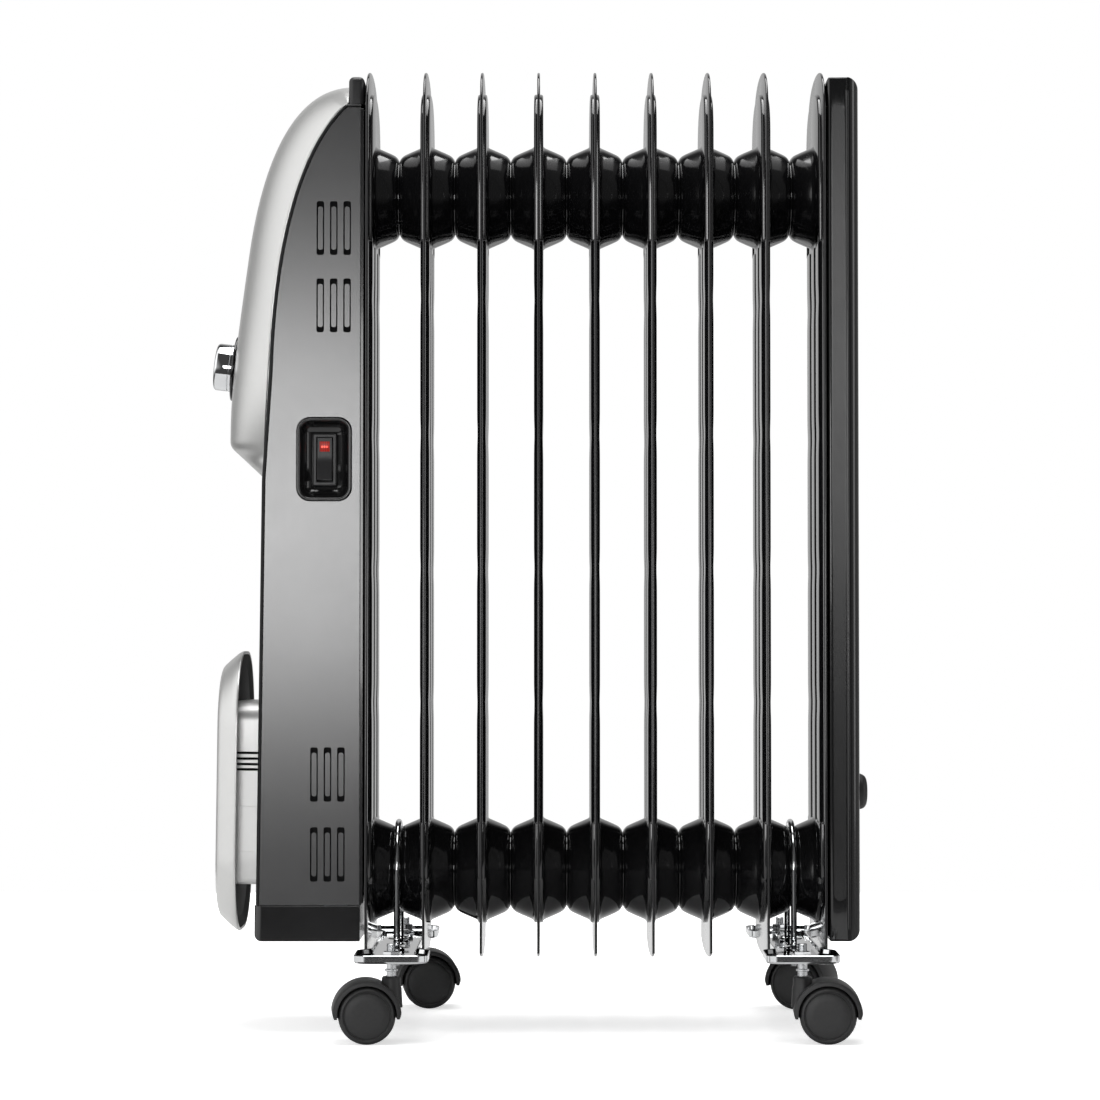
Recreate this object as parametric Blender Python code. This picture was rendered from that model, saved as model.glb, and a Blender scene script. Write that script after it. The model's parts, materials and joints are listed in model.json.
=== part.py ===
"""Oil filled radiator heater, built as an assembly of separate named pieces.

Metres, +Z up. The heater stands on four twin-wheel casters. X runs along its length, with the control
housing at -X and the rear cover at +X. Y runs across it, and the rocker switch faces -Y. Everything is
laid out around the middle fin, then the whole heater is moved so that its origin is the centre of its
base.
"""

import math

import bmesh
import bpy
from mathutils import Matrix, Vector
from mathutils.geometry import interpolate_bezier

MM = 0.001

# Fits and meshing
GAP = 0.3 * MM
RUNNING_GAP = 0.4 * MM
ROUND_STEPS = 16
WHEEL_STEPS = 20
CURVE_STEPS = 7

# Fins: pressed sheets with an oil channel and two barrel headers
FIN_COUNT = 9
FIN_PITCH = 37.1 * MM
FIN_WIDTH = 130.0 * MM
FIN_TOP_Z = 630.0 * MM
FIN_BOTTOM_Z = 44.0 * MM
FIN_TOP_ARCH = 30.0 * MM
FIN_BOTTOM_ARCH = 8.0 * MM
FIN_SHEET = 2.0 * MM
CHANNEL_THICKNESS = 6.0 * MM
CHANNEL_RIM = 13.5 * MM
CHANNEL_FOOT = 4.0 * MM
HEADER_TOP_Z = 548.5 * MM
HEADER_BOTTOM_Z = 102.4 * MM
LOBE_RADIUS = 33.0 * MM
SHOULDER_RADIUS = 28.6 * MM
WAIST_RADIUS = 25.0 * MM
SHOULDER_LENGTH = 4.5 * MM
LOBE_SETBACK = 0.5 * MM
BORE_RADIUS = 17.0 * MM
BORE_STEPS = 18
END_WALL = 3.5 * MM
ELEMENT_BOSS_RADIUS = 19.0 * MM
ELEMENT_BOSS_LENGTH = 5.0 * MM

# Heating element and filler plug
ELEMENT_TUBE_RADIUS = 4.0 * MM
ELEMENT_LEG_SPACING = 17.0 * MM
ELEMENT_TAIL = 12.0 * MM
ELEMENT_END_CLEARANCE = 14.0 * MM
ELEMENT_FLANGE_RADIUS = 23.0 * MM
ELEMENT_FLANGE_THICKNESS = 6.0 * MM
PLUG_SHANK_RADIUS = 5.0 * MM
PLUG_HEAD_RADIUS = 8.0 * MM
PLUG_HEAD_LENGTH = 5.0 * MM

# Control housing
HOUSING_INSET = 3.0 * MM
HOUSING_WIDTH = FIN_WIDTH - 2 * HOUSING_INSET
HOUSING_WALL = 2.5 * MM
HOUSING_EDGE_RADIUS = 5.0 * MM
HOUSING_TO_FIN = 3.9 * MM
HOUSING_TOP_Z = 602.0 * MM
HOUSING_BOTTOM_Z = 59.5 * MM
HOUSING_NECK = 10.0 * MM
HOUSING_DEPTH_AT_PANEL = 64.0 * MM
HOUSING_DEPTH_AT_BASE = 67.5 * MM
PANEL_BEND_Z = 428.0 * MM
PANEL_FOOT_Z = 358.0 * MM
BASE_HEIGHT = 23.0 * MM

# Silver front panel
PANEL_INSET = 5.0 * MM
PANEL_WIDTH = HOUSING_WIDTH - 2 * PANEL_INSET
PANEL_WALL = 2.5 * MM
PANEL_EDGE_RADIUS = 13.0 * MM
PANEL_TOP_Z = 619.5 * MM
PANEL_CREST_Z = 509.0 * MM
PANEL_CREST_DEPTH = 76.0 * MM
PANEL_CHIN_Z = 386.0 * MM
PANEL_CHIN_DEPTH = 88.5 * MM
PANEL_CHIN_RADIUS = 5.0 * MM

# Grip over the top of the housing
GRIP_HEIGHT = 18.4 * MM
GRIP_INSET = 3.0 * MM
GRIP_WIDTH = HOUSING_WIDTH - 2 * GRIP_INSET
GRIP_RADIUS = 4.5 * MM

# Thermostat
KNOB_Z = 434.5 * MM
KNOB_TILT = math.radians(6.5)
KNOB_RADIUS = 15.7 * MM
KNOB_LENGTH = 11.7 * MM
KNOB_BORE_DEPTH = 7.0 * MM
KNOB_RIM_RADIUS = 1.2 * MM
DIAL_RING_RADIUS = 21.5 * MM
DIAL_RING_THICKNESS = 1.6 * MM
DIAL_RING_STANDOFF = 0.8 * MM
SHAFT_RADIUS = 3.0 * MM
SHAFT_HOLE_RADIUS = 3.8 * MM
THERMOSTAT_SIZE = (15.0 * MM, 32.0 * MM, 28.0 * MM)
THERMOSTAT_CLEARANCE = 2.0 * MM
FRONT_WINDOW_WIDTH = 60.0 * MM
FRONT_WINDOW_HEIGHT = 74.0 * MM

# Vents, in groups of upright slots on both sides
SLOT_WIDTH = 4.9 * MM
SLOT_HEIGHT = 35.0 * MM
SLOT_PITCH = 8.7 * MM
SLOTS_PER_GROUP = 3
SLOT_END_STEPS = 4
UPPER_VENT_DEPTH = 17.6 * MM
LOWER_VENT_DEPTH = 21.0 * MM
UPPER_VENT_ZS = (521.0 * MM, 470.7 * MM)
LOWER_VENT_ZS = (167.0 * MM, 115.5 * MM)

# Rocker switch, on the -Y side
SWITCH_DEPTH_X = 23.6 * MM
SWITCH_Z = 370.9 * MM
BEZEL_WIDTH = 35.6 * MM
BEZEL_HEIGHT = 54.2 * MM
BEZEL_CORNER = 8.7 * MM
BEZEL_RIM = 1.6 * MM
BEZEL_PROUD = 0.6 * MM
BEZEL_DEPTH = 12.0 * MM
BEZEL_FLOOR = 2.2 * MM
BEZEL_SLOPE = 5.5 * MM
SWITCH_FRAME_WIDTH = 15.0 * MM
SWITCH_FRAME_HEIGHT = 33.4 * MM
SWITCH_FRAME_PROUD = 2.6 * MM
SWITCH_FRAME_DEPTH = 14.0 * MM
SWITCH_FRAME_RIM = 2.3 * MM
ROCKER_TILT = math.radians(7.0)
ROCKER_DEPTH = 7.0 * MM
ROCKER_CREST = 2.2 * MM
ROCKER_END_GAP = 0.6 * MM
LENS_WIDTH = 6.8 * MM
LENS_HEIGHT = 7.0 * MM
LENS_THICKNESS = 1.0 * MM
LENS_FROM_PIVOT = 8.0 * MM

# Inside the housing
SHIELD_THICKNESS = 1.0 * MM
SHIELD_WING = 30.0 * MM
SHIELD_INSET = 1.5 * MM
SHIELD_TOP_Z = 556.0 * MM
SHIELD_BOTTOM_Z = 86.0 * MM
TERMINAL_BLOCK_SIZE = (12.0 * MM, 34.0 * MM, 18.0 * MM)
TERMINAL_BLOCK_Z = 290.0 * MM
CUTOUT_RADIUS = 8.0 * MM
CUTOUT_LENGTH = 9.0 * MM
CUTOUT_Z = 210.0 * MM
GLAND_RADIUS = 7.0 * MM
GLAND_LENGTH = 9.0 * MM
GLAND_BORE_RADIUS = 3.6 * MM
GLAND_DEPTH_X = 34.0 * MM

# Cord store on the front of the housing
STORE_Z = 154.5 * MM
CORE_WIDTH = 92.0 * MM
CORE_HEIGHT = 119.0 * MM
CORE_CORNER = 14.0 * MM
STORE_GAP = 13.0 * MM
FLANGE_WIDTH = 126.0 * MM
FLANGE_HEIGHT = 184.0 * MM
FLANGE_CORNER = 50.0 * MM
FLANGE_THICKNESS = 14.5 * MM
FLANGE_BEVEL = 5.0 * MM
FLANGE_DISH = 3.0 * MM

# Rear cover
COVER_TO_FIN = 2.3 * MM
COVER_DEPTH = 20.3 * MM
COVER_INSET = 3.0 * MM
COVER_WIDTH = FIN_WIDTH - 2 * COVER_INSET
COVER_TOP_Z = 619.5 * MM
COVER_WALL = 2.5 * MM
COVER_EDGE_RADIUS = 6.5 * MM
BUFFER_Z = 154.5 * MM
BUFFER_WIDTH = 70.0 * MM
BUFFER_HEIGHT = 23.0 * MM
BUFFER_LENGTH = 7.0 * MM
BUFFER_EDGE_RADIUS = 3.5 * MM

# Caster plates and their U-bolts, between the first two and the last two fins
PLATE_Z = 50.0 * MM
PLATE_SHEET = 1.6 * MM
PLATE_LIP = 5.5 * MM
PLATE_LENGTH = 238.0 * MM
PLATE_WAIST = 30.0 * MM
PLATE_ARM_WIDTH = 47.0 * MM
PLATE_ARM_FROM_FIN = 4.0 * MM
U_BOLT_RADIUS = 2.0 * MM
U_BOLT_CLEARANCE = 4.0 * MM
U_BOLT_TAIL = 9.0 * MM
NUT_RADIUS = 5.5 * MM
NUT_LENGTH = 4.0 * MM

# Casters
WHEEL_RADIUS = 18.0 * MM
WHEEL_WIDTH = 13.4 * MM
WHEEL_EDGE = 1.2 * MM
WHEEL_BORE_DEPTH = 11.0 * MM
WHEEL_SPACING = 7.2 * MM
AXLE_RADIUS = 2.0 * MM
CASTER_TRAIL = 15.8 * MM
CASTER_TRACK = 105.0 * MM
HOOD_GAP = 0.8 * MM
HOOD_WALL = 3.0 * MM
HOOD_WIDTH = 33.0 * MM
HOOD_WEB = 6.4 * MM
HOOD_SKIRT = math.radians(6.0)
HOOD_STEPS = 12
NECK_RADIUS = 6.0 * MM
NECK_TOP_Z = 41.5 * MM
STEM_RADIUS = 3.0 * MM
STEM_FOOT_Z = 28.5 * MM
STEM_TOP_Z = 62.0 * MM
CASTERS = (
    ("front_left", -1, -1, math.radians(185.0)),
    ("front_right", -1, 1, math.radians(5.0)),
    ("rear_left", 1, -1, math.radians(-3.0)),
    ("rear_right", 1, 1, math.radians(-22.0)),
)

# Values that follow from the ones above
FIRST_FIN_X = -FIN_PITCH * (FIN_COUNT - 1) / 2
LAST_FIN_X = -FIRST_FIN_X
HALF_PITCH = FIN_PITCH / 2
HOUSING_BACK_X = FIRST_FIN_X - HOUSING_TO_FIN
COVER_FRONT_X = LAST_FIN_X + COVER_TO_FIN
SPLIT_Z = HOUSING_BOTTOM_Z + BASE_HEIGHT
PLATE_X = LAST_FIN_X - HALF_PITCH
U_BOLT_BEND = WAIST_RADIUS + U_BOLT_CLEARANCE + U_BOLT_RADIUS
CUT_MARGIN = 5.0 * MM

root = None


def clear_scene():
    """Removes every object of the open scene."""
    for item in list(bpy.data.objects):
        bpy.data.objects.remove(item, do_unlink=True)


# ---------------------------------------------------------------- materials


def material(name, colour, roughness, metallic=0.0):
    """A Principled material of one colour."""
    made = bpy.data.materials.new(name)
    made.use_nodes = True
    shader = made.node_tree.nodes["Principled BSDF"]
    shader.inputs["Base Color"].default_value = (*colour, 1.0)
    shader.inputs["Roughness"].default_value = roughness
    shader.inputs["Metallic"].default_value = metallic
    made.diffuse_color = (*colour, 1.0)
    return made


def make_materials():
    """All the finishes, by name."""
    return {
        "black_enamel": material("black_enamel", (0.012, 0.012, 0.013), 0.14),
        "housing_plastic": material("housing_plastic", (0.06, 0.06, 0.062), 0.38),
        "black_plastic": material("black_plastic", (0.015, 0.015, 0.016), 0.22),
        "silver_plastic": material("silver_plastic", (0.62, 0.62, 0.61), 0.32, 0.4),
        "chrome": material("chrome", (0.8, 0.8, 0.82), 0.08, 1.0),
        "zinc": material("zinc", (0.55, 0.56, 0.57), 0.35, 1.0),
        "galvanised": material("galvanised", (0.5, 0.51, 0.52), 0.4, 0.9),
        "element_steel": material("element_steel", (0.35, 0.34, 0.33), 0.45, 1.0),
        "caster_plastic": material("caster_plastic", (0.025, 0.025, 0.026), 0.5),
        "ceramic": material("ceramic", (0.75, 0.72, 0.64), 0.6),
        "red_lens": material("red_lens", (0.7, 0.02, 0.02), 0.15),
        "rubber": material("rubber", (0.02, 0.02, 0.02), 0.7),
    }


# ---------------------------------------------------------------- outlines


def curve_points(start, start_handle, end_handle, end, steps):
    """Points along one Bezier stretch, both ends included. Points are (x, z) or (y, z) pairs."""
    ends = [Vector((pair[0], pair[1], 0.0)) for pair in (start, start_handle, end_handle, end)]
    return [(point.x, point.y) for point in interpolate_bezier(*ends, steps + 1)]


def arc_points(centre, radius, start, end, steps):
    """Points along one arc, both ends included, by angles in radians."""
    angles = [start + (end - start) * step / steps for step in range(steps + 1)]
    return [
        (centre[0] + radius * math.cos(angle), centre[1] + radius * math.sin(angle))
        for angle in angles
    ]


def rounded_rectangle(width, height, corner, steps, centre=(0.0, 0.0)):
    """A closed outline with four round corners, counter-clockwise."""
    corner = min(corner, width / 2, height / 2)
    points = []
    for quarter, (side, level) in enumerate(((1, 1), (-1, 1), (-1, -1), (1, -1))):
        middle = (
            centre[0] + side * (width / 2 - corner),
            centre[1] + level * (height / 2 - corner),
        )
        start = quarter * math.pi / 2
        points += arc_points(middle, corner, start, start + math.pi / 2, steps)
    return without_repeats(points)


def without_repeats(points):
    """The same closed outline, with neighbours that fall on each other made one."""
    kept = []
    for point in points:
        if not kept or math.dist(point, kept[-1]) > 1e-6:
            kept.append(point)
    if math.dist(kept[0], kept[-1]) <= 1e-6:
        kept.pop()
    return kept


def shifted(points, distance):
    """An open line moved sideways by distance, to the left of its direction, with mitred bends."""
    moved = []
    for index, point in enumerate(points):
        before = points[max(index - 1, 0)]
        after = points[min(index + 1, len(points) - 1)]
        into = Vector((point[0] - before[0], point[1] - before[1]))
        out = Vector((after[0] - point[0], after[1] - point[1]))
        into = (into if into.length else out).normalized()
        out = (out if out.length else into).normalized()
        along = (into + out).normalized()
        normal = Vector((-along.y, along.x))
        stretch = distance / max(normal.dot(Vector((-into.y, into.x))), 0.5)
        moved.append((point[0] + normal.x * stretch, point[1] + normal.y * stretch))
    return moved


# ---------------------------------------------------------------- solids


def xz(pair, y=0.0):
    """A point of an outline drawn in the X-Z plane."""
    return Vector((pair[0], y, pair[1]))


def yz(pair, x=0.0):
    """A point of an outline drawn in the Y-Z plane."""
    return Vector((x, pair[0], pair[1]))


def xy(pair, z=0.0):
    """A point of an outline drawn in the X-Y plane."""
    return Vector((pair[0], pair[1], z))


def add_prism(bm, corners, along):
    """A closed prism: the face of these corners, extruded by the vector along."""
    face = bm.faces.new([bm.verts.new(corner) for corner in corners])
    made = bmesh.ops.extrude_face_region(bm, geom=[face], use_keep_orig=True)
    top = [item for item in made["geom"] if isinstance(item, bmesh.types.BMVert)]
    bmesh.ops.translate(bm, verts=top, vec=along)
    solid = {edge_face for vert in top for edge_face in vert.link_faces} | {face}
    bmesh.ops.recalc_face_normals(bm, faces=list(solid | linked_faces(face)))


def linked_faces(face):
    """Every face that hangs together with this one."""
    found = {face}
    edge_of = [face]
    while edge_of:
        for edge in edge_of.pop().edges:
            for other in edge.link_faces:
                if other not in found:
                    found.add(other)
                    edge_of.append(other)
    return found


def prism(corners, along):
    """A new bmesh that holds one prism."""
    bm = bmesh.new()
    add_prism(bm, corners, along)
    return bm


def add_box(bm, low, high):
    """A box between two corners."""
    size = Vector(high) - Vector(low)
    matrix = Matrix.Translation((Vector(low) + Vector(high)) / 2) @ Matrix.Diagonal((*size, 1.0))
    bmesh.ops.create_cube(bm, size=1.0, matrix=matrix)


def box(low, high):
    """A new bmesh that holds one box."""
    bm = bmesh.new()
    add_box(bm, low, high)
    return bm


def add_cylinder(bm, start, end, radius, steps=ROUND_STEPS):
    """A cylinder between two points."""
    start = Vector(start)
    along = Vector(end) - start
    turn = along.to_track_quat("Z", "Y").to_matrix().to_4x4()
    matrix = Matrix.Translation(start + along / 2) @ turn
    bmesh.ops.create_cone(
        bm,
        cap_ends=True,
        segments=steps,
        radius1=radius,
        radius2=radius,
        depth=along.length,
        matrix=matrix,
    )


def cylinder(start, end, radius, steps=ROUND_STEPS):
    """A new bmesh that holds one cylinder."""
    bm = bmesh.new()
    add_cylinder(bm, start, end, radius, steps)
    return bm


def turned(profile, steps=ROUND_STEPS):
    """A closed solid spun about +Z from (radius, height) points that start and end on the axis."""
    bm = bmesh.new()
    verts = [bm.verts.new((radius, 0.0, height)) for radius, height in profile]
    edges = [bm.edges.new(pair) for pair in zip(verts, verts[1:])]
    bmesh.ops.spin(
        bm,
        geom=verts + edges,
        cent=(0.0, 0.0, 0.0),
        axis=(0.0, 0.0, 1.0),
        angle=2 * math.pi,
        steps=steps,
        use_merge=True,
    )
    bmesh.ops.remove_doubles(bm, verts=bm.verts[:], dist=1e-6)
    bmesh.ops.recalc_face_normals(bm, faces=bm.faces[:])
    return bm


def place(bm, matrix):
    """The same bmesh, moved by a matrix."""
    bmesh.ops.transform(bm, matrix=matrix, verts=bm.verts[:])
    return bm


def bevel_edges(bm, radius, steps, chosen):
    """Rounds every edge for which chosen(edge) holds."""
    edges = [edge for edge in bm.edges if chosen(edge)]
    bmesh.ops.bevel(
        bm,
        geom=edges,
        offset=radius,
        offset_type="OFFSET",
        segments=steps,
        profile=0.5,
        affect="EDGES",
        clamp_overlap=True,
        material=-1,
    )
    bmesh.ops.recalc_face_normals(bm, faces=bm.faces[:])


def along_axis(origin, direction):
    """The matrix that stands +Z along a direction at a point."""
    return Matrix.Translation(origin) @ Vector(direction).to_track_quat("Z", "Y").to_matrix().to_4x4()


# ---------------------------------------------------------------- objects


def new_object(name, bm, finish, origin=(0.0, 0.0, 0.0), parent=None):
    """A named object whose origin is at a point, holding a bmesh drawn in the heater's frame."""
    origin = Vector(origin)
    bmesh.ops.translate(bm, verts=bm.verts[:], vec=-origin)
    mesh = bpy.data.meshes.new(name)
    bm.to_mesh(mesh)
    bm.free()
    return new_from_mesh(name, mesh, finish, origin, parent)


def new_from_mesh(name, mesh, finish, origin, parent=None):
    """A named object for a mesh that is already drawn about its own origin."""
    made = bpy.data.objects.new(name, mesh)
    bpy.context.scene.collection.objects.link(made)
    if finish is not None and not mesh.materials:
        mesh.materials.append(finish)
    made.parent = parent or root
    made.location = Vector(origin) - (parent.location if parent else Vector())
    return made


def new_helper(name, bm):
    """A cutter or a piece to be joined: drawn as wire and left out of renders."""
    mesh = bpy.data.meshes.new(name)
    bm.to_mesh(mesh)
    bm.free()
    made = bpy.data.objects.new(name, mesh)
    bpy.context.scene.collection.objects.link(made)
    made.hide_render = True
    made.display_type = "WIRE"
    made.parent = root
    return made


def combine(target, operation, name, bm):
    """Adds one exact Boolean step to an object."""
    step = target.modifiers.new(name, "BOOLEAN")
    step.operation = operation
    step.solver = "EXACT"
    step.object = new_helper(name, bm)


def cut(target, name, bm):
    """Takes a shape away from an object."""
    combine(target, "DIFFERENCE", name, bm)


def join(target, name, bm):
    """Adds a shape to an object."""
    combine(target, "UNION", name, bm)


def settle(target):
    """Replaces an object's mesh by the result of its modifiers, so that copies can share it."""
    bpy.context.view_layer.update()
    graph = bpy.context.evaluated_depsgraph_get()
    result = bpy.data.meshes.new_from_object(target.evaluated_get(graph))
    target.modifiers.clear()
    target.data = result
    return result


def smooth(target, angle=math.radians(35.0)):
    """Shades a round piece smooth, keeping its sharp edges."""
    target.data.shade_smooth()
    target.data.set_sharp_from_angle(angle=angle)


# ---------------------------------------------------------------- fins


def fin_outline(rim, low_z=None):
    """The Y-Z outline of a fin, inset by a rim, with arched top and bottom."""
    half = FIN_WIDTH / 2 - rim
    top = FIN_TOP_Z - rim
    bottom = FIN_BOTTOM_Z if low_z is None else low_z
    bottom_arch = FIN_BOTTOM_ARCH if low_z is None else 0.0
    upper = curve_points(
        (half, top - FIN_TOP_ARCH),
        (half * 0.94, top - FIN_TOP_ARCH * 0.2),
        (half * 0.5, top),
        (0.0, top),
        CURVE_STEPS,
    )
    lower = curve_points(
        (-half, bottom + bottom_arch),
        (-half * 0.6, bottom),
        (half * 0.6, bottom),
        (half, bottom + bottom_arch),
        4,
    )
    mirrored = [(-y, z) for y, z in reversed(upper)]
    return without_repeats(upper + mirrored + (lower if bottom_arch else lower[:1] + lower[-1:]))


def lobe_profile(left_end, right_end):
    """(radius, height) points of a header lobe: a cone to each side that turns in at its shoulder."""
    points = [(0.0, left_end)]
    if left_end < -CHANNEL_THICKNESS:
        points += [(WAIST_RADIUS, left_end), (SHOULDER_RADIUS, left_end + SHOULDER_LENGTH)]
        points.append((LOBE_RADIUS, 0.0))
    else:
        points += [(LOBE_RADIUS, left_end), (LOBE_RADIUS, 0.0)]
    if right_end > CHANNEL_THICKNESS:
        points += [(SHOULDER_RADIUS, right_end - SHOULDER_LENGTH), (WAIST_RADIUS, right_end)]
    else:
        points.append((LOBE_RADIUS, right_end))
    points.append((0.0, right_end))
    return points


def build_fin(name, x, finish, open_left=True, open_right=True):
    """One fin at its place: sheet, oil channel, two header lobes and the bores that join it to the next."""
    sheet = prism([yz(pair, -FIN_SHEET / 2) for pair in fin_outline(0.0)], Vector((FIN_SHEET, 0, 0)))
    fin = new_object(name, sheet, finish)
    channel = fin_outline(CHANNEL_RIM, HEADER_BOTTOM_Z - CHANNEL_FOOT)
    join(
        fin,
        name + "_channel",
        prism([yz(pair, -CHANNEL_THICKNESS / 2) for pair in channel], Vector((CHANNEL_THICKNESS, 0, 0))),
    )
    reach = HALF_PITCH - GAP / 2
    closed_face = CHANNEL_THICKNESS / 2 - LOBE_SETBACK
    left = -reach if open_left else -closed_face
    right = reach if open_right else closed_face
    for label, level in (("top", HEADER_TOP_Z), ("bottom", HEADER_BOTTOM_Z)):
        lobe = place(turned(lobe_profile(left, right)), along_axis((0, 0, level), (1, 0, 0)))
        join(fin, f"{name}_{label}_lobe", lobe)
    if not open_left:
        boss_start = (-CHANNEL_THICKNESS / 2 - ELEMENT_BOSS_LENGTH, 0.0, HEADER_BOTTOM_Z)
        boss_end = (LOBE_SETBACK, 0.0, HEADER_BOTTOM_Z)
        join(fin, name + "_boss", cylinder(boss_start, boss_end, ELEMENT_BOSS_RADIUS, 20))
    closed_end = CHANNEL_THICKNESS / 2 - END_WALL
    bore_left = -reach - CUT_MARGIN if open_left else -closed_end
    bore_right = reach + CUT_MARGIN if open_right else closed_end
    bores = bmesh.new()
    for level in (HEADER_TOP_Z, HEADER_BOTTOM_Z):
        from_x = -reach - CUT_MARGIN if level == HEADER_BOTTOM_Z and not open_left else bore_left
        add_cylinder(bores, (from_x, 0, level), (bore_right, 0, level), BORE_RADIUS, BORE_STEPS)
    cut(fin, name + "_bores", bores)
    if not open_right:
        plug_hole = cylinder(
            (-CUT_MARGIN, 0.0, HEADER_TOP_Z), (CUT_MARGIN, 0.0, HEADER_TOP_Z), PLUG_SHANK_RADIUS + GAP, 14
        )
        cut(fin, name + "_plug_hole", plug_hole)
    settle(fin)
    fin.location.x = x
    return fin


def make_fins(finish):
    """The row of fins. The ones between the ends share one mesh."""
    middle_mesh = None
    for index in range(FIN_COUNT):
        name = f"fin_{index + 1}"
        x = FIRST_FIN_X + index * FIN_PITCH
        at_end = index in (0, FIN_COUNT - 1)
        if middle_mesh is None or at_end:
            fin = build_fin(name, x, finish, open_left=index > 0, open_right=index < FIN_COUNT - 1)
            middle_mesh = middle_mesh if at_end else fin.data
        else:
            fin = new_from_mesh(name, middle_mesh, finish, (x, 0.0, 0.0))
        smooth(fin)


def make_element(steel, zinc):
    """The U-shaped heating element in the lower header, its screwed flange, and the filler plug."""
    half = ELEMENT_LEG_SPACING / 2
    boss_end_x = FIRST_FIN_X - CHANNEL_THICKNESS / 2 - ELEMENT_BOSS_LENGTH
    flange_x = boss_end_x - GAP - ELEMENT_FLANGE_THICKNESS
    bend_x = LAST_FIN_X - ELEMENT_END_CLEARANCE - half
    bend = arc_points((bend_x, HEADER_BOTTOM_Z), half, math.pi / 2, -math.pi / 2, 8)
    tail_x = flange_x - ELEMENT_TAIL
    path = [(tail_x, HEADER_BOTTOM_Z + half), *bend, (tail_x, HEADER_BOTTOM_Z - half)]
    line = bpy.data.curves.new("heating_element", "CURVE")
    line.dimensions = "3D"
    line.bevel_depth = ELEMENT_TUBE_RADIUS
    line.bevel_resolution = 2
    line.use_fill_caps = True
    spline = line.splines.new("POLY")
    spline.points.add(len(path) - 1)
    for point, pair in zip(spline.points, path):
        point.co = (pair[0], 0.0, pair[1], 1.0)
    new_from_mesh("heating_element", line, steel, (0.0, 0.0, 0.0))
    flange = new_object(
        "element_flange",
        cylinder(
            (flange_x, 0, HEADER_BOTTOM_Z),
            (flange_x + ELEMENT_FLANGE_THICKNESS, 0, HEADER_BOTTOM_Z),
            ELEMENT_FLANGE_RADIUS,
        ),
        zinc,
    )
    holes = bmesh.new()
    for level in (HEADER_BOTTOM_Z - half, HEADER_BOTTOM_Z + half):
        start = (flange_x - CUT_MARGIN, 0, level)
        end = (boss_end_x + CUT_MARGIN, 0, level)
        add_cylinder(holes, start, end, ELEMENT_TUBE_RADIUS + GAP)
    cut(flange, "element_flange_holes", holes)
    seat_x = LAST_FIN_X + CHANNEL_THICKNESS / 2 + GAP
    shank = -END_WALL
    profile = [
        (0.0, shank),
        (PLUG_SHANK_RADIUS, shank),
        (PLUG_SHANK_RADIUS, 0.0),
        (PLUG_HEAD_RADIUS, 0.0),
        (PLUG_HEAD_RADIUS, PLUG_HEAD_LENGTH),
        (0.0, PLUG_HEAD_LENGTH),
    ]
    plug = place(turned(profile, 12), along_axis((seat_x, 0, HEADER_TOP_Z), (1, 0, 0)))
    smooth(new_object("oil_plug", plug, zinc))


# ---------------------------------------------------------------- control housing


def housing_front():
    """The front line of the housing from its top down to its base, as (x, z)."""
    top = (HOUSING_BACK_X - HOUSING_NECK, HOUSING_TOP_Z)
    bend = (HOUSING_BACK_X - HOUSING_DEPTH_AT_PANEL + 4.5 * MM, PANEL_BEND_Z)
    foot = (HOUSING_BACK_X - HOUSING_DEPTH_AT_PANEL, PANEL_FOOT_Z)
    crown = curve_points(
        top,
        (top[0] - 27 * MM, top[1] - 24 * MM),
        (bend[0] + 2.5 * MM, bend[1] + 92 * MM),
        bend,
        CURVE_STEPS,
    )
    return crown + [foot, (HOUSING_BACK_X - HOUSING_DEPTH_AT_BASE, HOUSING_BOTTOM_Z)]


def front_x(level):
    """Where the housing's front stands at a height below the panel."""
    foot, base = housing_front()[-2:]
    share = (level - base[1]) / (foot[1] - base[1])
    return base[0] + share * (foot[0] - base[0])


def front_lean():
    """The lean of the housing's lower front from upright, in radians."""
    foot, base = housing_front()[-2:]
    return math.atan2(foot[0] - base[0], foot[1] - base[1])


def stadium(width, height, centre):
    """The outline of a slot with round ends."""
    return rounded_rectangle(width, height, width / 2, SLOT_END_STEPS // 2, centre)


def vent_slots():
    """A cutter that holds every vent slot, through both sides."""
    slots = bmesh.new()
    groups = [(UPPER_VENT_DEPTH, level) for level in UPPER_VENT_ZS]
    groups += [(LOWER_VENT_DEPTH, level) for level in LOWER_VENT_ZS]
    for depth, level in groups:
        for index in range(SLOTS_PER_GROUP):
            x = HOUSING_BACK_X - depth + (index - (SLOTS_PER_GROUP - 1) / 2) * SLOT_PITCH
            outline = stadium(SLOT_WIDTH, SLOT_HEIGHT, (x, level))
            start = -HOUSING_WIDTH / 2 - CUT_MARGIN
            add_prism(slots, [xz(pair, start) for pair in outline], Vector((0, -2 * start, 0)))
    return slots


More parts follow.
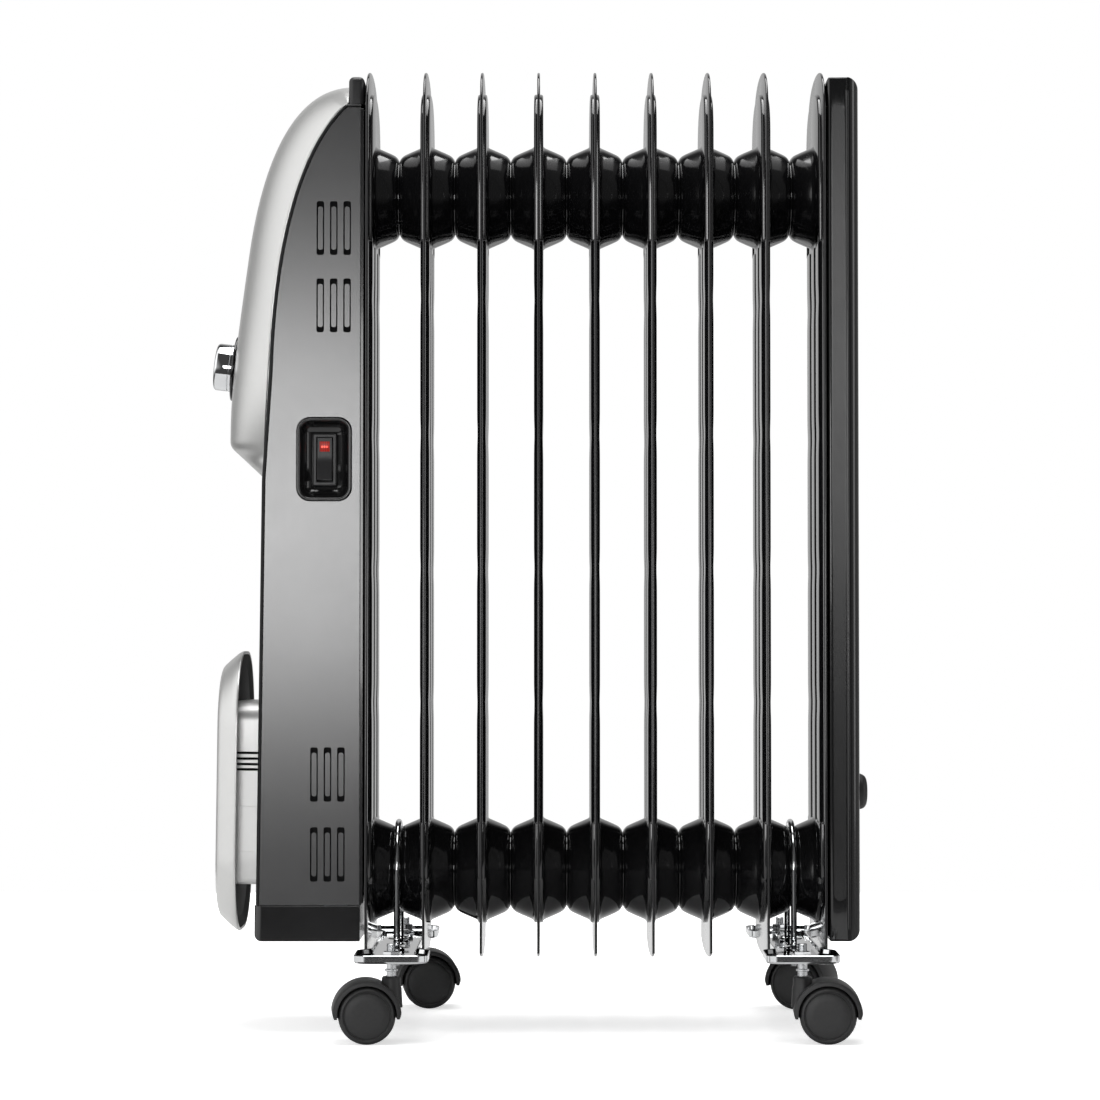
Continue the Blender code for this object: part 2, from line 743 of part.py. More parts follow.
def make_housing(finishes):
    """The control housing's shell and the base tray that closes it."""
    line = housing_front()
    above_base = line[:-1] + [(front_x(SPLIT_Z + GAP), SPLIT_Z + GAP)]
    outline = [(HOUSING_BACK_X, HOUSING_TOP_Z)] + above_base + [(HOUSING_BACK_X, SPLIT_Z + GAP)]
    half = HOUSING_WIDTH / 2
    shell = prism([xz(pair, -half) for pair in outline], Vector((0, HOUSING_WIDTH, 0)))
    bevel_edges(
        shell,
        HOUSING_EDGE_RADIUS,
        2,
        lambda edge: all(
            abs(abs(vert.co.y) - half) < 1e-6 and vert.co.x < HOUSING_BACK_X - 1e-6 for vert in edge.verts
        ),
    )
    housing = new_object("control_housing", shell, finishes["housing_plastic"])
    inner = shifted(above_base, HOUSING_WALL)
    inner = [(HOUSING_BACK_X + CUT_MARGIN, HOUSING_TOP_Z - HOUSING_WALL)] + [
        (x, min(z, HOUSING_TOP_Z - HOUSING_WALL)) for x, z in inner
    ]
    inner += [(inner[-1][0], SPLIT_Z - CUT_MARGIN), (HOUSING_BACK_X + CUT_MARGIN, SPLIT_Z - CUT_MARGIN)]
    inside = half - HOUSING_WALL
    cavity = prism([xz(pair, -inside) for pair in inner], Vector((0, 2 * inside, 0)))
    cut(housing, "housing_cavity", cavity)
    cut(housing, "housing_vents", vent_slots())
    switch_x = HOUSING_BACK_X - SWITCH_DEPTH_X
    opening = rounded_rectangle(
        BEZEL_WIDTH + 2 * GAP, BEZEL_HEIGHT + 2 * GAP, BEZEL_CORNER + GAP, 3, (switch_x, SWITCH_Z)
    )
    start = -half - CUT_MARGIN
    switch_cut = prism([xz(pair, start) for pair in opening], Vector((0, half, 0)))
    cut(housing, "housing_switch_opening", switch_cut)
    window = box(
        (HOUSING_BACK_X - HOUSING_DEPTH_AT_BASE, -FRONT_WINDOW_WIDTH / 2, KNOB_Z - FRONT_WINDOW_HEIGHT / 2),
        (HOUSING_BACK_X - SHIELD_WING, FRONT_WINDOW_WIDTH / 2, KNOB_Z + FRONT_WINDOW_HEIGHT / 2),
    )
    cut(housing, "housing_front_window", window)
    make_base(finishes["black_plastic"], half)
    make_gland(finishes["rubber"], half)


def make_base(finish, half):
    """The tray that closes the housing's foot, with a hole for the cord gland on its +Y side."""
    foot_x = front_x(HOUSING_BOTTOM_Z)
    outline = [
        (HOUSING_BACK_X, SPLIT_Z),
        (front_x(SPLIT_Z) - 1.0 * MM, SPLIT_Z),
        (foot_x - 1.0 * MM, HOUSING_BOTTOM_Z),
        (HOUSING_BACK_X, HOUSING_BOTTOM_Z),
    ]
    tray = prism([xz(pair, -half) for pair in outline], Vector((0, HOUSING_WIDTH, 0)))
    bevel_edges(
        tray,
        HOUSING_EDGE_RADIUS,
        2,
        lambda edge: all(vert.co.x < HOUSING_BACK_X - 1e-6 for vert in edge.verts)
        and not all(abs(vert.co.z - SPLIT_Z) < 1e-6 for vert in edge.verts),
    )
    base = new_object("housing_base", tray, finish)
    inside = half - HOUSING_WALL
    hollow = box(
        (foot_x - 1.0 * MM + HOUSING_EDGE_RADIUS, -inside, HOUSING_BOTTOM_Z + HOUSING_WALL),
        (HOUSING_BACK_X - HOUSING_WALL, inside, SPLIT_Z + CUT_MARGIN),
    )
    cut(base, "base_hollow", hollow)
    gland_x, gland_z = gland_centre()
    hole = cylinder(
        (gland_x, inside - CUT_MARGIN, gland_z),
        (gland_x, half + CUT_MARGIN, gland_z),
        GLAND_RADIUS - 2 * MM + GAP,
    )
    cut(base, "base_gland_hole", hole)


def gland_centre():
    """Where the cord gland sits on the base's +Y side, as (x, z)."""
    return HOUSING_BACK_X - GLAND_DEPTH_X, (HOUSING_BOTTOM_Z + SPLIT_Z) / 2


def make_gland(finish, half):
    """The gland for the mains lead: a collar outside the wall and a bored neck through it."""
    neck = GLAND_RADIUS - 2 * MM
    profile = [
        (GLAND_BORE_RADIUS, -HOUSING_WALL - 2 * MM),
        (neck, -HOUSING_WALL - 2 * MM),
        (neck, GAP),
        (GLAND_RADIUS, GAP),
        (GLAND_RADIUS, 3 * MM),
        (neck, GLAND_LENGTH),
        (GLAND_BORE_RADIUS, GLAND_LENGTH),
    ]
    bm = bmesh.new()
    verts = [bm.verts.new((radius, 0.0, height)) for radius, height in profile]
    edges = [bm.edges.new((verts[i], verts[(i + 1) % len(verts)])) for i in range(len(verts))]
    bmesh.ops.spin(
        bm, geom=verts + edges, cent=(0, 0, 0), axis=(0, 0, 1), angle=2 * math.pi, steps=12, use_merge=True
    )
    bmesh.ops.recalc_face_normals(bm, faces=bm.faces[:])
    gland_x, gland_z = gland_centre()
    place(bm, along_axis((gland_x, half, gland_z), (0, 1, 0)))
    smooth(new_object("cord_gland", bm, finish))


def panel_front(inset):
    """The front line of the silver panel, top to chin, moved inwards by a wall."""
    top = (HOUSING_BACK_X - HOUSING_NECK + 1.5 * MM, PANEL_TOP_Z)
    crest = (HOUSING_BACK_X - PANEL_CREST_DEPTH, PANEL_CREST_Z)
    chin = (HOUSING_BACK_X - PANEL_CHIN_DEPTH, PANEL_CHIN_Z)
    crown = curve_points(
        top, (top[0] - 40 * MM, top[1] - 1 * MM), (crest[0] + 8 * MM, crest[1] + 57 * MM), crest, 9
    )
    face = curve_points(
        crest, (crest[0] - 5.5 * MM, crest[1] - 40 * MM), (chin[0] + 0.5 * MM, chin[1] + 40 * MM), chin, 4
    )
    foot = (housing_front()[-2][0] - GAP, PANEL_FOOT_Z)
    radius = PANEL_CHIN_RADIUS
    slope = Vector((foot[0] - chin[0], foot[1] - chin[1])).normalized()
    corner = [
        (chin[0] + slope.x * radius * 0.25, chin[1] - radius * 0.7),
        (chin[0] + slope.x * radius, chin[1] + slope.y * radius - radius * 0.4),
    ]
    line = crown + face[1:] + corner + [foot]
    return shifted(line, inset) if inset else line


def panel_back():
    """The line of the panel's back edge, from its foot up to its top."""
    line = shifted(housing_front()[:-1], -GAP)
    line[-1] = (line[-1][0], PANEL_FOOT_Z)
    return list(reversed(line))


def make_panel(finish):
    """The silver front panel: a crowned shell, open at the back, with a hole for the thermostat shaft."""
    top_x = panel_front(0.0)[0][0]
    outline = without_repeats(panel_front(0.0) + panel_back()[1:])
    half = PANEL_WIDTH / 2
    shell = prism([xz(pair, -half) for pair in outline], Vector((0, PANEL_WIDTH, 0)))
    front = {(round(x, 6), round(z, 6)) for x, z in panel_front(0.0)}
    bevel_edges(
        shell,
        PANEL_EDGE_RADIUS,
        3,
        lambda edge: all(
            abs(abs(vert.co.y) - half) < 1e-6 and (round(vert.co.x, 6), round(vert.co.z, 6)) in front
            for vert in edge.verts
        ),
    )
    panel = new_object("front_panel", shell, finish)
    line = [(x, min(z, PANEL_TOP_Z - PANEL_WALL)) for x, z in panel_front(PANEL_WALL)]
    line = [pair for pair in line if pair[1] < PANEL_TOP_Z - 2 * PANEL_WALL and pair[1] > PANEL_FOOT_Z]
    line = line[:-1]
    far_x = top_x + FIN_PITCH
    low = line[-1][1]
    inner = [(far_x, line[0][1])] + line + [(far_x, low)]
    inside = half - PANEL_EDGE_RADIUS / 3 - PANEL_WALL
    cavity = prism([xz(pair, -inside) for pair in inner], Vector((0, 2 * inside, 0)))
    cut(panel, "panel_cavity", cavity)
    seat, direction = knob_seat()
    hole = cylinder(seat - direction * 8 * CUT_MARGIN, seat + direction * CUT_MARGIN, SHAFT_HOLE_RADIUS)
    cut(panel, "panel_shaft_hole", hole)


def make_grip(finish):
    """The grip along the top edge of the housing."""
    low = (HOUSING_BACK_X - HOUSING_NECK + 1.5 * MM + GAP, -GRIP_WIDTH / 2, HOUSING_TOP_Z + GAP)
    high = (HOUSING_BACK_X, GRIP_WIDTH / 2, HOUSING_TOP_Z + GRIP_HEIGHT)
    grip = box(low, high)
    bevel_edges(grip, GRIP_RADIUS, 3, lambda edge: all(vert.co.z > high[2] - 1e-6 for vert in edge.verts))
    smooth(new_object("top_grip", grip, finish))


# ---------------------------------------------------------------- thermostat


def panel_x_at(level):
    """Where the panel's front stands at a height, by its front line."""
    line = panel_front(0.0)
    for upper, lower in zip(line, line[1:]):
        if upper[1] >= level >= lower[1]:
            share = (upper[1] - level) / (upper[1] - lower[1])
            return upper[0] + share * (lower[0] - upper[0])
    return line[-1][0]


def knob_seat():
    """The point on the panel where the thermostat's axis comes out, and the axis outwards."""
    return (
        Vector((panel_x_at(KNOB_Z), 0.0, KNOB_Z)),
        Vector((-math.cos(KNOB_TILT), 0.0, math.sin(KNOB_TILT))),
    )


def make_thermostat(finishes):
    """The dial ring, the knob on its shaft, and the thermostat behind the panel."""
    seat, direction = knob_seat()
    ring_low = DIAL_RING_STANDOFF
    ring_high = ring_low + DIAL_RING_THICKNESS
    ring = place(
        cylinder((0, 0, ring_low), (0, 0, ring_high), DIAL_RING_RADIUS, 28), along_axis(seat, direction)
    )
    dial = new_object("dial_ring", ring, finishes["black_plastic"])
    hole = cylinder(
        seat - direction * CUT_MARGIN, seat + direction * (ring_high + CUT_MARGIN), SHAFT_HOLE_RADIUS
    )
    cut(dial, "dial_ring_hole", hole)
    knob_low = ring_high + RUNNING_GAP
    knob_high = knob_low + KNOB_LENGTH
    bore = SHAFT_RADIUS + GAP
    knob_profile = [
        (0.0, knob_low + KNOB_BORE_DEPTH),
        (bore, knob_low + KNOB_BORE_DEPTH),
        (bore, knob_low),
        (KNOB_RADIUS, knob_low),
        (KNOB_RADIUS, knob_high - KNOB_RIM_RADIUS),
        (KNOB_RADIUS - KNOB_RIM_RADIUS, knob_high),
        (0.0, knob_high),
    ]
    body_high = -PANEL_WALL - THERMOSTAT_CLEARANCE
    body_low = body_high - THERMOSTAT_SIZE[0]
    shaft_profile = [
        (0.0, body_high + GAP),
        (SHAFT_RADIUS, body_high + GAP),
        (SHAFT_RADIUS, knob_low + KNOB_BORE_DEPTH - GAP),
        (0.0, knob_low + KNOB_BORE_DEPTH - GAP),
    ]
    for name, profile, finish in (
        ("thermostat_knob", knob_profile, "chrome"),
        ("thermostat_shaft", shaft_profile, "zinc"),
    ):
        steps = 32 if name == "thermostat_knob" else ROUND_STEPS
        bm = place(turned(profile, steps), along_axis(seat, direction))
        smooth(new_object(name, bm, finishes[finish], seat))
    half_y, half_z = THERMOSTAT_SIZE[1] / 2, THERMOSTAT_SIZE[2] / 2
    body = box((-half_z, -half_y, body_low), (half_z, half_y, body_high))
    bevel_edges(body, 1.5 * MM, 1, lambda edge: all(vert.co.z < body_low + 1e-6 for vert in edge.verts))
    new_object("thermostat_body", place(body, along_axis(seat, direction)), finishes["ceramic"])


# ---------------------------------------------------------------- switch


def make_switch(finishes):
    """The dished bezel, the switch frame, the rocker and its lens, on the -Y side."""
    x = HOUSING_BACK_X - SWITCH_DEPTH_X
    face_y = -HOUSING_WIDTH / 2 - BEZEL_PROUD
    floor_y = face_y + BEZEL_DEPTH - BEZEL_FLOOR
    outer = rounded_rectangle(BEZEL_WIDTH, BEZEL_HEIGHT, BEZEL_CORNER, 3, (x, SWITCH_Z))
    bezel = new_object(
        "switch_bezel",
        prism([xz(pair, face_y) for pair in outer], Vector((0, BEZEL_DEPTH, 0))),
        finishes["black_plastic"],
    )
    cut(bezel, "bezel_dish", bezel_dish(x, face_y, floor_y))
    width = SWITCH_FRAME_WIDTH + 2 * GAP
    height = SWITCH_FRAME_HEIGHT + 2 * GAP
    seat = box(
        (x - width / 2, floor_y - CUT_MARGIN, SWITCH_Z - height / 2),
        (x + width / 2, floor_y + BEZEL_FLOOR + CUT_MARGIN, SWITCH_Z + height / 2),
    )
    cut(bezel, "bezel_seat", seat)
    frame_y = floor_y - SWITCH_FRAME_PROUD
    frame = new_object(
        "switch_frame",
        box(
            (x - SWITCH_FRAME_WIDTH / 2, frame_y, SWITCH_Z - SWITCH_FRAME_HEIGHT / 2),
            (x + SWITCH_FRAME_WIDTH / 2, frame_y + SWITCH_FRAME_DEPTH, SWITCH_Z + SWITCH_FRAME_HEIGHT / 2),
        ),
        finishes["black_plastic"],
    )
    well_width = SWITCH_FRAME_WIDTH - 2 * SWITCH_FRAME_RIM
    well_height = SWITCH_FRAME_HEIGHT - 2 * SWITCH_FRAME_RIM
    well = box(
        (x - well_width / 2, frame_y - CUT_MARGIN, SWITCH_Z - well_height / 2),
        (x + well_width / 2, frame_y + SWITCH_FRAME_DEPTH - HOUSING_WALL, SWITCH_Z + well_height / 2),
    )
    cut(frame, "frame_well", well)
    make_rocker(finishes, x, frame_y, well_width, well_height)


def bezel_dish(x, face_y, floor_y):
    """The bezel's hollow: sloping walls from the rim down to the floor."""
    dish = bmesh.new()
    loops = []
    for y, inset in ((face_y - 1 * MM, BEZEL_RIM), (floor_y, BEZEL_RIM + BEZEL_SLOPE)):
        outline = rounded_rectangle(
            BEZEL_WIDTH - 2 * inset, BEZEL_HEIGHT - 2 * inset, BEZEL_CORNER - BEZEL_RIM, 3, (x, SWITCH_Z)
        )
        loops.append([dish.verts.new(xz(pair, y)) for pair in outline])
    edges = [dish.edges.new((loop[i - 1], loop[i])) for loop in loops for i in range(len(loop))]
    bmesh.ops.bridge_loops(dish, edges=edges)
    for loop in loops:
        dish.faces.new(loop)
    bmesh.ops.recalc_face_normals(dish, faces=dish.faces[:])
    return dish


def make_rocker(finishes, x, frame_y, well_width, well_height):
    """The rocker, pressed in at its top as when switched on, with its lens let into the upper half."""
    half_width = well_width / 2 - GAP
    half_height = well_height / 2 - ROCKER_END_GAP
    pivot = Vector((x, frame_y + ROCKER_DEPTH / 2, SWITCH_Z))
    front = -ROCKER_DEPTH / 2
    outline = [
        (front - ROCKER_CREST, half_height),
        (front, half_height * 0.12),
        (front, -half_height * 0.12),
        (front - ROCKER_CREST, -half_height),
        (0.0, -half_height + 0.4 * MM),
        (-front, -half_height * 0.35),
        (-front, half_height * 0.35),
        (0.0, half_height - 0.4 * MM),
    ]
    tilt = Matrix.Translation(pivot) @ Matrix.Rotation(-ROCKER_TILT, 4, "X")
    body = place(prism([yz(pair, -half_width) for pair in outline], Vector((2 * half_width, 0, 0))), tilt)
    rocker = new_object("rocker", body, finishes["black_plastic"], pivot)
    slope = math.atan2(ROCKER_CREST, half_height * 0.88)
    share = (LENS_FROM_PIVOT - half_height * 0.12) / (half_height * 0.88)
    seat = (
        tilt
        @ Matrix.Translation((0.0, front - ROCKER_CREST * share, LENS_FROM_PIVOT))
        @ Matrix.Rotation(slope, 4, "X")
    )
    pocket = box(
        (-LENS_WIDTH / 2 - GAP, -CUT_MARGIN, -LENS_HEIGHT / 2 - GAP),
        (LENS_WIDTH / 2 + GAP, LENS_THICKNESS, LENS_HEIGHT / 2 + GAP),
    )
    cut(rocker, "rocker_pocket", place(pocket, seat))
    lens = box(
        (-LENS_WIDTH / 2, -0.1 * MM, -LENS_HEIGHT / 2),
        (LENS_WIDTH / 2, LENS_THICKNESS - GAP, LENS_HEIGHT / 2),
    )
    new_object("rocker_lens", place(lens, seat), finishes["red_lens"], pivot)


# ---------------------------------------------------------------- inside the housing


def make_inside(finishes):
    """The heat shield behind the housing, the terminal block and the thermal cut-out."""
    inside = HOUSING_WIDTH / 2 - HOUSING_WALL - SHIELD_INSET
    back_x = HOUSING_BACK_X - 1 * MM
    front_edge_x = back_x - SHIELD_WING
    sheet = SHIELD_THICKNESS
    outline = [
        (back_x, -inside),
        (back_x, inside),
        (front_edge_x, inside),
        (front_edge_x, inside - sheet),
        (back_x - sheet, inside - sheet),
        (back_x - sheet, -inside + sheet),
        (front_edge_x, -inside + sheet),
        (front_edge_x, -inside),
    ]
    rise = Vector((0, 0, SHIELD_TOP_Z - SHIELD_BOTTOM_Z))
    folded = prism([xy(pair, SHIELD_BOTTOM_Z) for pair in outline], rise)
    shield = new_object("heat_shield", folded, finishes["galvanised"])
    holes = cylinder(
        (back_x - CUT_MARGIN, 0, HEADER_BOTTOM_Z),
        (back_x + CUT_MARGIN, 0, HEADER_BOTTOM_Z),
        ELEMENT_BOSS_RADIUS + 1 * MM,
    )
    cut(shield, "shield_element_hole", holes)
    switch_x = HOUSING_BACK_X - SWITCH_DEPTH_X
    tall = BEZEL_HEIGHT / 2 + 3 * MM
    window = box(
        (switch_x - BEZEL_WIDTH / 2 - SHIELD_WING, -inside - CUT_MARGIN, SWITCH_Z - tall),
        (switch_x + BEZEL_WIDTH / 2 + 1 * MM, -inside + CUT_MARGIN, SWITCH_Z + tall),
    )
    cut(shield, "shield_switch_window", window)
    mount_x = back_x - sheet - GAP
    depth, width, height = TERMINAL_BLOCK_SIZE
    block = new_object(
        "terminal_block",
        box(
            (mount_x - depth, -width / 2, TERMINAL_BLOCK_Z - height / 2),
            (mount_x, width / 2, TERMINAL_BLOCK_Z + height / 2),
        ),
        finishes["ceramic"],
    )
    channels = bmesh.new()
    for side in (-1, 0, 1):
        middle = side * width * 0.31
        low = (mount_x - depth - CUT_MARGIN, middle - width * 0.1, TERMINAL_BLOCK_Z - height)
        high = (mount_x - depth * 0.55, middle + width * 0.1, TERMINAL_BLOCK_Z + height)
        add_box(channels, low, high)
    cut(block, "terminal_channels", channels)
    cutout = cylinder((mount_x - CUTOUT_LENGTH, 0, CUTOUT_Z), (mount_x, 0, CUTOUT_Z), CUTOUT_RADIUS)
    smooth(new_object("thermal_cutout", cutout, finishes["zinc"]))


# ---------------------------------------------------------------- cord store


def make_cord_store(finishes):
    """The core and the outer flange that the mains lead is wound round, leaning with the front."""
    seat = Vector((front_x(STORE_Z), 0.0, STORE_Z))
    lean = Matrix.Translation(seat) @ Matrix.Rotation(front_lean(), 4, "Y")
    core_outline = rounded_rectangle(CORE_WIDTH, CORE_HEIGHT, CORE_CORNER, 3)
    core_length = STORE_GAP + FLANGE_DISH - GAP
    core = prism([yz(pair, -GAP) for pair in core_outline], Vector((-core_length, 0, 0)))
    smooth(new_object("cord_core", place(core, lean), finishes["silver_plastic"]))
    outline = rounded_rectangle(FLANGE_WIDTH, FLANGE_HEIGHT, FLANGE_CORNER, 6)
    flange = prism([yz(pair, -STORE_GAP - GAP) for pair in outline], Vector((-FLANGE_THICKNESS, 0, 0)))
    front = -STORE_GAP - GAP - FLANGE_THICKNESS
    bevel_edges(
        flange, FLANGE_BEVEL, 2, lambda edge: all(vert.co.x < front + 1e-6 for vert in edge.verts)
    )
    made = new_object("cord_flange", place(flange, lean), finishes["silver_plastic"])
    inset = 6 * MM
    hollow = rounded_rectangle(
        FLANGE_WIDTH - 2 * inset, FLANGE_HEIGHT - 2 * inset, FLANGE_CORNER - inset, 6
    )
    dish = prism([yz(pair, 0.0) for pair in hollow], Vector((-STORE_GAP - GAP - FLANGE_DISH, 0, 0)))
    cut(made, "flange_dish", place(dish, lean))
    smooth(made)


# ---------------------------------------------------------------- rear cover


def make_rear_cover(finishes):
    """The rear cover, a tray open towards the last fin, and the buffer on its outside."""
    back_x = COVER_FRONT_X + COVER_DEPTH
    half = COVER_WIDTH / 2
    tray = box((COVER_FRONT_X, -half, HOUSING_BOTTOM_Z), (back_x, half, COVER_TOP_Z))
    bevel_edges(
        tray, COVER_EDGE_RADIUS, 3, lambda edge: all(vert.co.x > back_x - 1e-6 for vert in edge.verts)
    )
    cover = new_object("rear_cover", tray, finishes["black_plastic"])
    hollow = box(
        (COVER_FRONT_X - CUT_MARGIN, -half + COVER_WALL, HOUSING_BOTTOM_Z + COVER_WALL),
        (back_x - COVER_WALL, half - COVER_WALL, COVER_TOP_Z - COVER_WALL),
    )
    bevel_edges(
        hollow,
        COVER_EDGE_RADIUS - COVER_WALL,
        1,
        lambda edge: all(vert.co.x > back_x - COVER_WALL - 1e-6 for vert in edge.verts),
    )
    cut(cover, "cover_hollow", hollow)
    smooth(cover)
    outline = rounded_rectangle(BUFFER_WIDTH, BUFFER_HEIGHT, BUFFER_HEIGHT / 2, 4, (0.0, BUFFER_Z))
    pad = prism([yz(pair, back_x + GAP) for pair in outline], Vector((BUFFER_LENGTH, 0, 0)))
    outside = back_x + GAP + BUFFER_LENGTH
    bevel_edges(
        pad, BUFFER_EDGE_RADIUS, 2, lambda edge: all(vert.co.x > outside - 1e-6 for vert in edge.verts)
    )
    smooth(new_object("rear_buffer", pad, finishes["rubber"]))


# ---------------------------------------------------------------- undercarriage


def plate_outline(inset):
    """The X-Y outline of a caster plate: a narrow waist between two fins and a wider arm at each end."""
    waist = PLATE_WAIST / 2 - inset
    arm = PLATE_ARM_WIDTH / 2 - inset
    end = PLATE_LENGTH / 2 - inset
    knee = FIN_WIDTH / 2 + PLATE_ARM_FROM_FIN + inset
    corner = 8 * MM
    quarter = [
        (waist, 0.0),
        (waist, knee),
        (arm, knee + (arm - waist) * 0.6),
        (arm, end - corner),
        (arm - corner * 0.3, end - corner * 0.3),
        (arm - corner, end),
    ]
    right = quarter[1:]
    half = [(x, y) for x, y in right] + [(-x, y) for x, y in reversed(right)]
    return half + [(-x, -y) for x, y in half]


def make_plate(label, x, finishes):
    """One pressed caster plate with an upturned lip, its U-bolt over the lower header, and two nuts."""
    blank = prism([xy(pair, PLATE_Z) for pair in plate_outline(0.0)], Vector((0, 0, PLATE_LIP)))
    blank = place(blank, Matrix.Translation((x, 0, 0)))
    plate = new_object("caster_plate_" + label, blank, finishes["chrome"])
    well = [xy(pair, PLATE_Z + PLATE_SHEET) for pair in plate_outline(PLATE_SHEET)]
    pressed = place(prism(well, Vector((0, 0, PLATE_LIP + CUT_MARGIN))), Matrix.Translation((x, 0, 0)))
    cut(plate, f"plate_{label}_pressing", pressed)
    holes = bmesh.new()
    drills = ((U_BOLT_BEND, U_BOLT_RADIUS), (CASTER_TRACK, STEM_RADIUS))
    for reach, radius in drills:
        for side in (-1, 1):
            start = (x, side * reach, PLATE_Z - CUT_MARGIN)
            end = (x, side * reach, PLATE_Z + PLATE_SHEET + CUT_MARGIN)
            add_cylinder(holes, start, end, radius + GAP, 12)
    cut(plate, f"plate_{label}_holes", holes)
    bolt = bpy.data.curves.new("u_bolt_" + label, "CURVE")
    bolt.dimensions = "3D"
    bolt.bevel_depth = U_BOLT_RADIUS
    bolt.bevel_resolution = 1
    bolt.use_fill_caps = True
    foot = PLATE_Z - U_BOLT_TAIL
    path = [(U_BOLT_BEND, foot)]
    path += arc_points((0.0, HEADER_BOTTOM_Z), U_BOLT_BEND, 0.0, math.pi, 12)
    path.append((-U_BOLT_BEND, foot))
    spline = bolt.splines.new("POLY")
    spline.points.add(len(path) - 1)
    for point, pair in zip(spline.points, path):
        point.co = (0.0, pair[0], pair[1], 1.0)
    new_from_mesh("u_bolt_" + label, bolt, finishes["chrome"], (x, 0.0, 0.0))
    for number, side in ((1, -1), (2, 1)):
        middle = Vector((x, side * U_BOLT_BEND, PLATE_Z - GAP))
        nut = new_object(
            f"u_bolt_nut_{label}_{number}",
            cylinder(middle, middle - Vector((0, 0, NUT_LENGTH)), NUT_RADIUS, 6),
            finishes["zinc"],
        )
        drill = cylinder(
            middle + Vector((0, 0, CUT_MARGIN)),
            middle - Vector((0, 0, NUT_LENGTH + CUT_MARGIN)),
            U_BOLT_RADIUS + GAP,
            12,
        )
        cut(nut, f"nut_drill_{label}_{number}", drill)


def hood_shape():
    """A caster's hood about its swivel axis, trailing to +X: web, shroud over the wheels and neck."""
    centre = (CASTER_TRAIL, WHEEL_RADIUS)
    inner = WHEEL_RADIUS + HOOD_GAP
    outer = inner + HOOD_WALL
    sweep = (-HOOD_SKIRT, math.pi + HOOD_SKIRT)
    shroud = arc_points(centre, outer, *sweep, HOOD_STEPS)
    shroud += list(reversed(arc_points(centre, inner, *sweep, HOOD_STEPS)))
    web = arc_points(centre, outer - 1 * MM, *sweep, HOOD_STEPS)
    web += [(centre[0] - AXLE_RADIUS * 2.5, centre[1] - AXLE_RADIUS * 2.5)]
    web += [(centre[0] + AXLE_RADIUS * 2.5, centre[1] - AXLE_RADIUS * 2.5)]
    return (
        prism([xz(pair, -HOOD_WIDTH / 2) for pair in shroud], Vector((0, HOOD_WIDTH, 0))),
        prism([xz(pair, -HOOD_WEB / 2) for pair in web], Vector((0, HOOD_WEB, 0))),
    )


def make_hood_mesh(finish):
    """The hood that the four casters share, drawn about the foot of its swivel axis."""
    shroud, web = hood_shape()
    hood = new_object("hood_pattern", shroud, finish)
    join(hood, "hood_web", web)
    join(hood, "hood_neck", cylinder((0, 0, WHEEL_RADIUS), (0, 0, NECK_TOP_Z), NECK_RADIUS, 12))
    wells = bmesh.new()
    inner = HOOD_WEB / 2
    for side in (-1, 1):
        start = (CASTER_TRAIL, side * inner, WHEEL_RADIUS)
        end = (CASTER_TRAIL, side * (HOOD_WIDTH / 2 + CUT_MARGIN), WHEEL_RADIUS)
        add_cylinder(wells, start, end, WHEEL_RADIUS + HOOD_GAP, 2 * HOOD_STEPS)
    cut(hood, "hood_wells", wells)
    bore_foot = (0, 0, STEM_FOOT_Z - GAP)
    bore_head = (0, 0, NECK_TOP_Z + CUT_MARGIN)
    cut(hood, "hood_stem_bore", cylinder(bore_foot, bore_head, STEM_RADIUS + GAP, 12))
    hole_start = (CASTER_TRAIL, -HOOD_WIDTH, WHEEL_RADIUS)
    hole_end = (CASTER_TRAIL, HOOD_WIDTH, WHEEL_RADIUS)
    cut(hood, "hood_axle_hole", cylinder(hole_start, hole_end, AXLE_RADIUS + GAP, 12))
    mesh = settle(hood)
    bpy.data.objects.remove(hood)
    return mesh


def wheel_profile():
    """(radius, height) points of a wheel from its inner face out, with a blind bore for the axle."""
    bore = AXLE_RADIUS + GAP
    return [
        (0.0, WHEEL_BORE_DEPTH),
        (bore, WHEEL_BORE_DEPTH),
        (bore, 0.0),
        (WHEEL_RADIUS - WHEEL_EDGE, 0.0),
        (WHEEL_RADIUS, WHEEL_EDGE),
        (WHEEL_RADIUS, WHEEL_WIDTH - 2 * WHEEL_EDGE),
        (WHEEL_RADIUS - 2 * WHEEL_EDGE, WHEEL_WIDTH),
        (0.0, WHEEL_WIDTH),
    ]


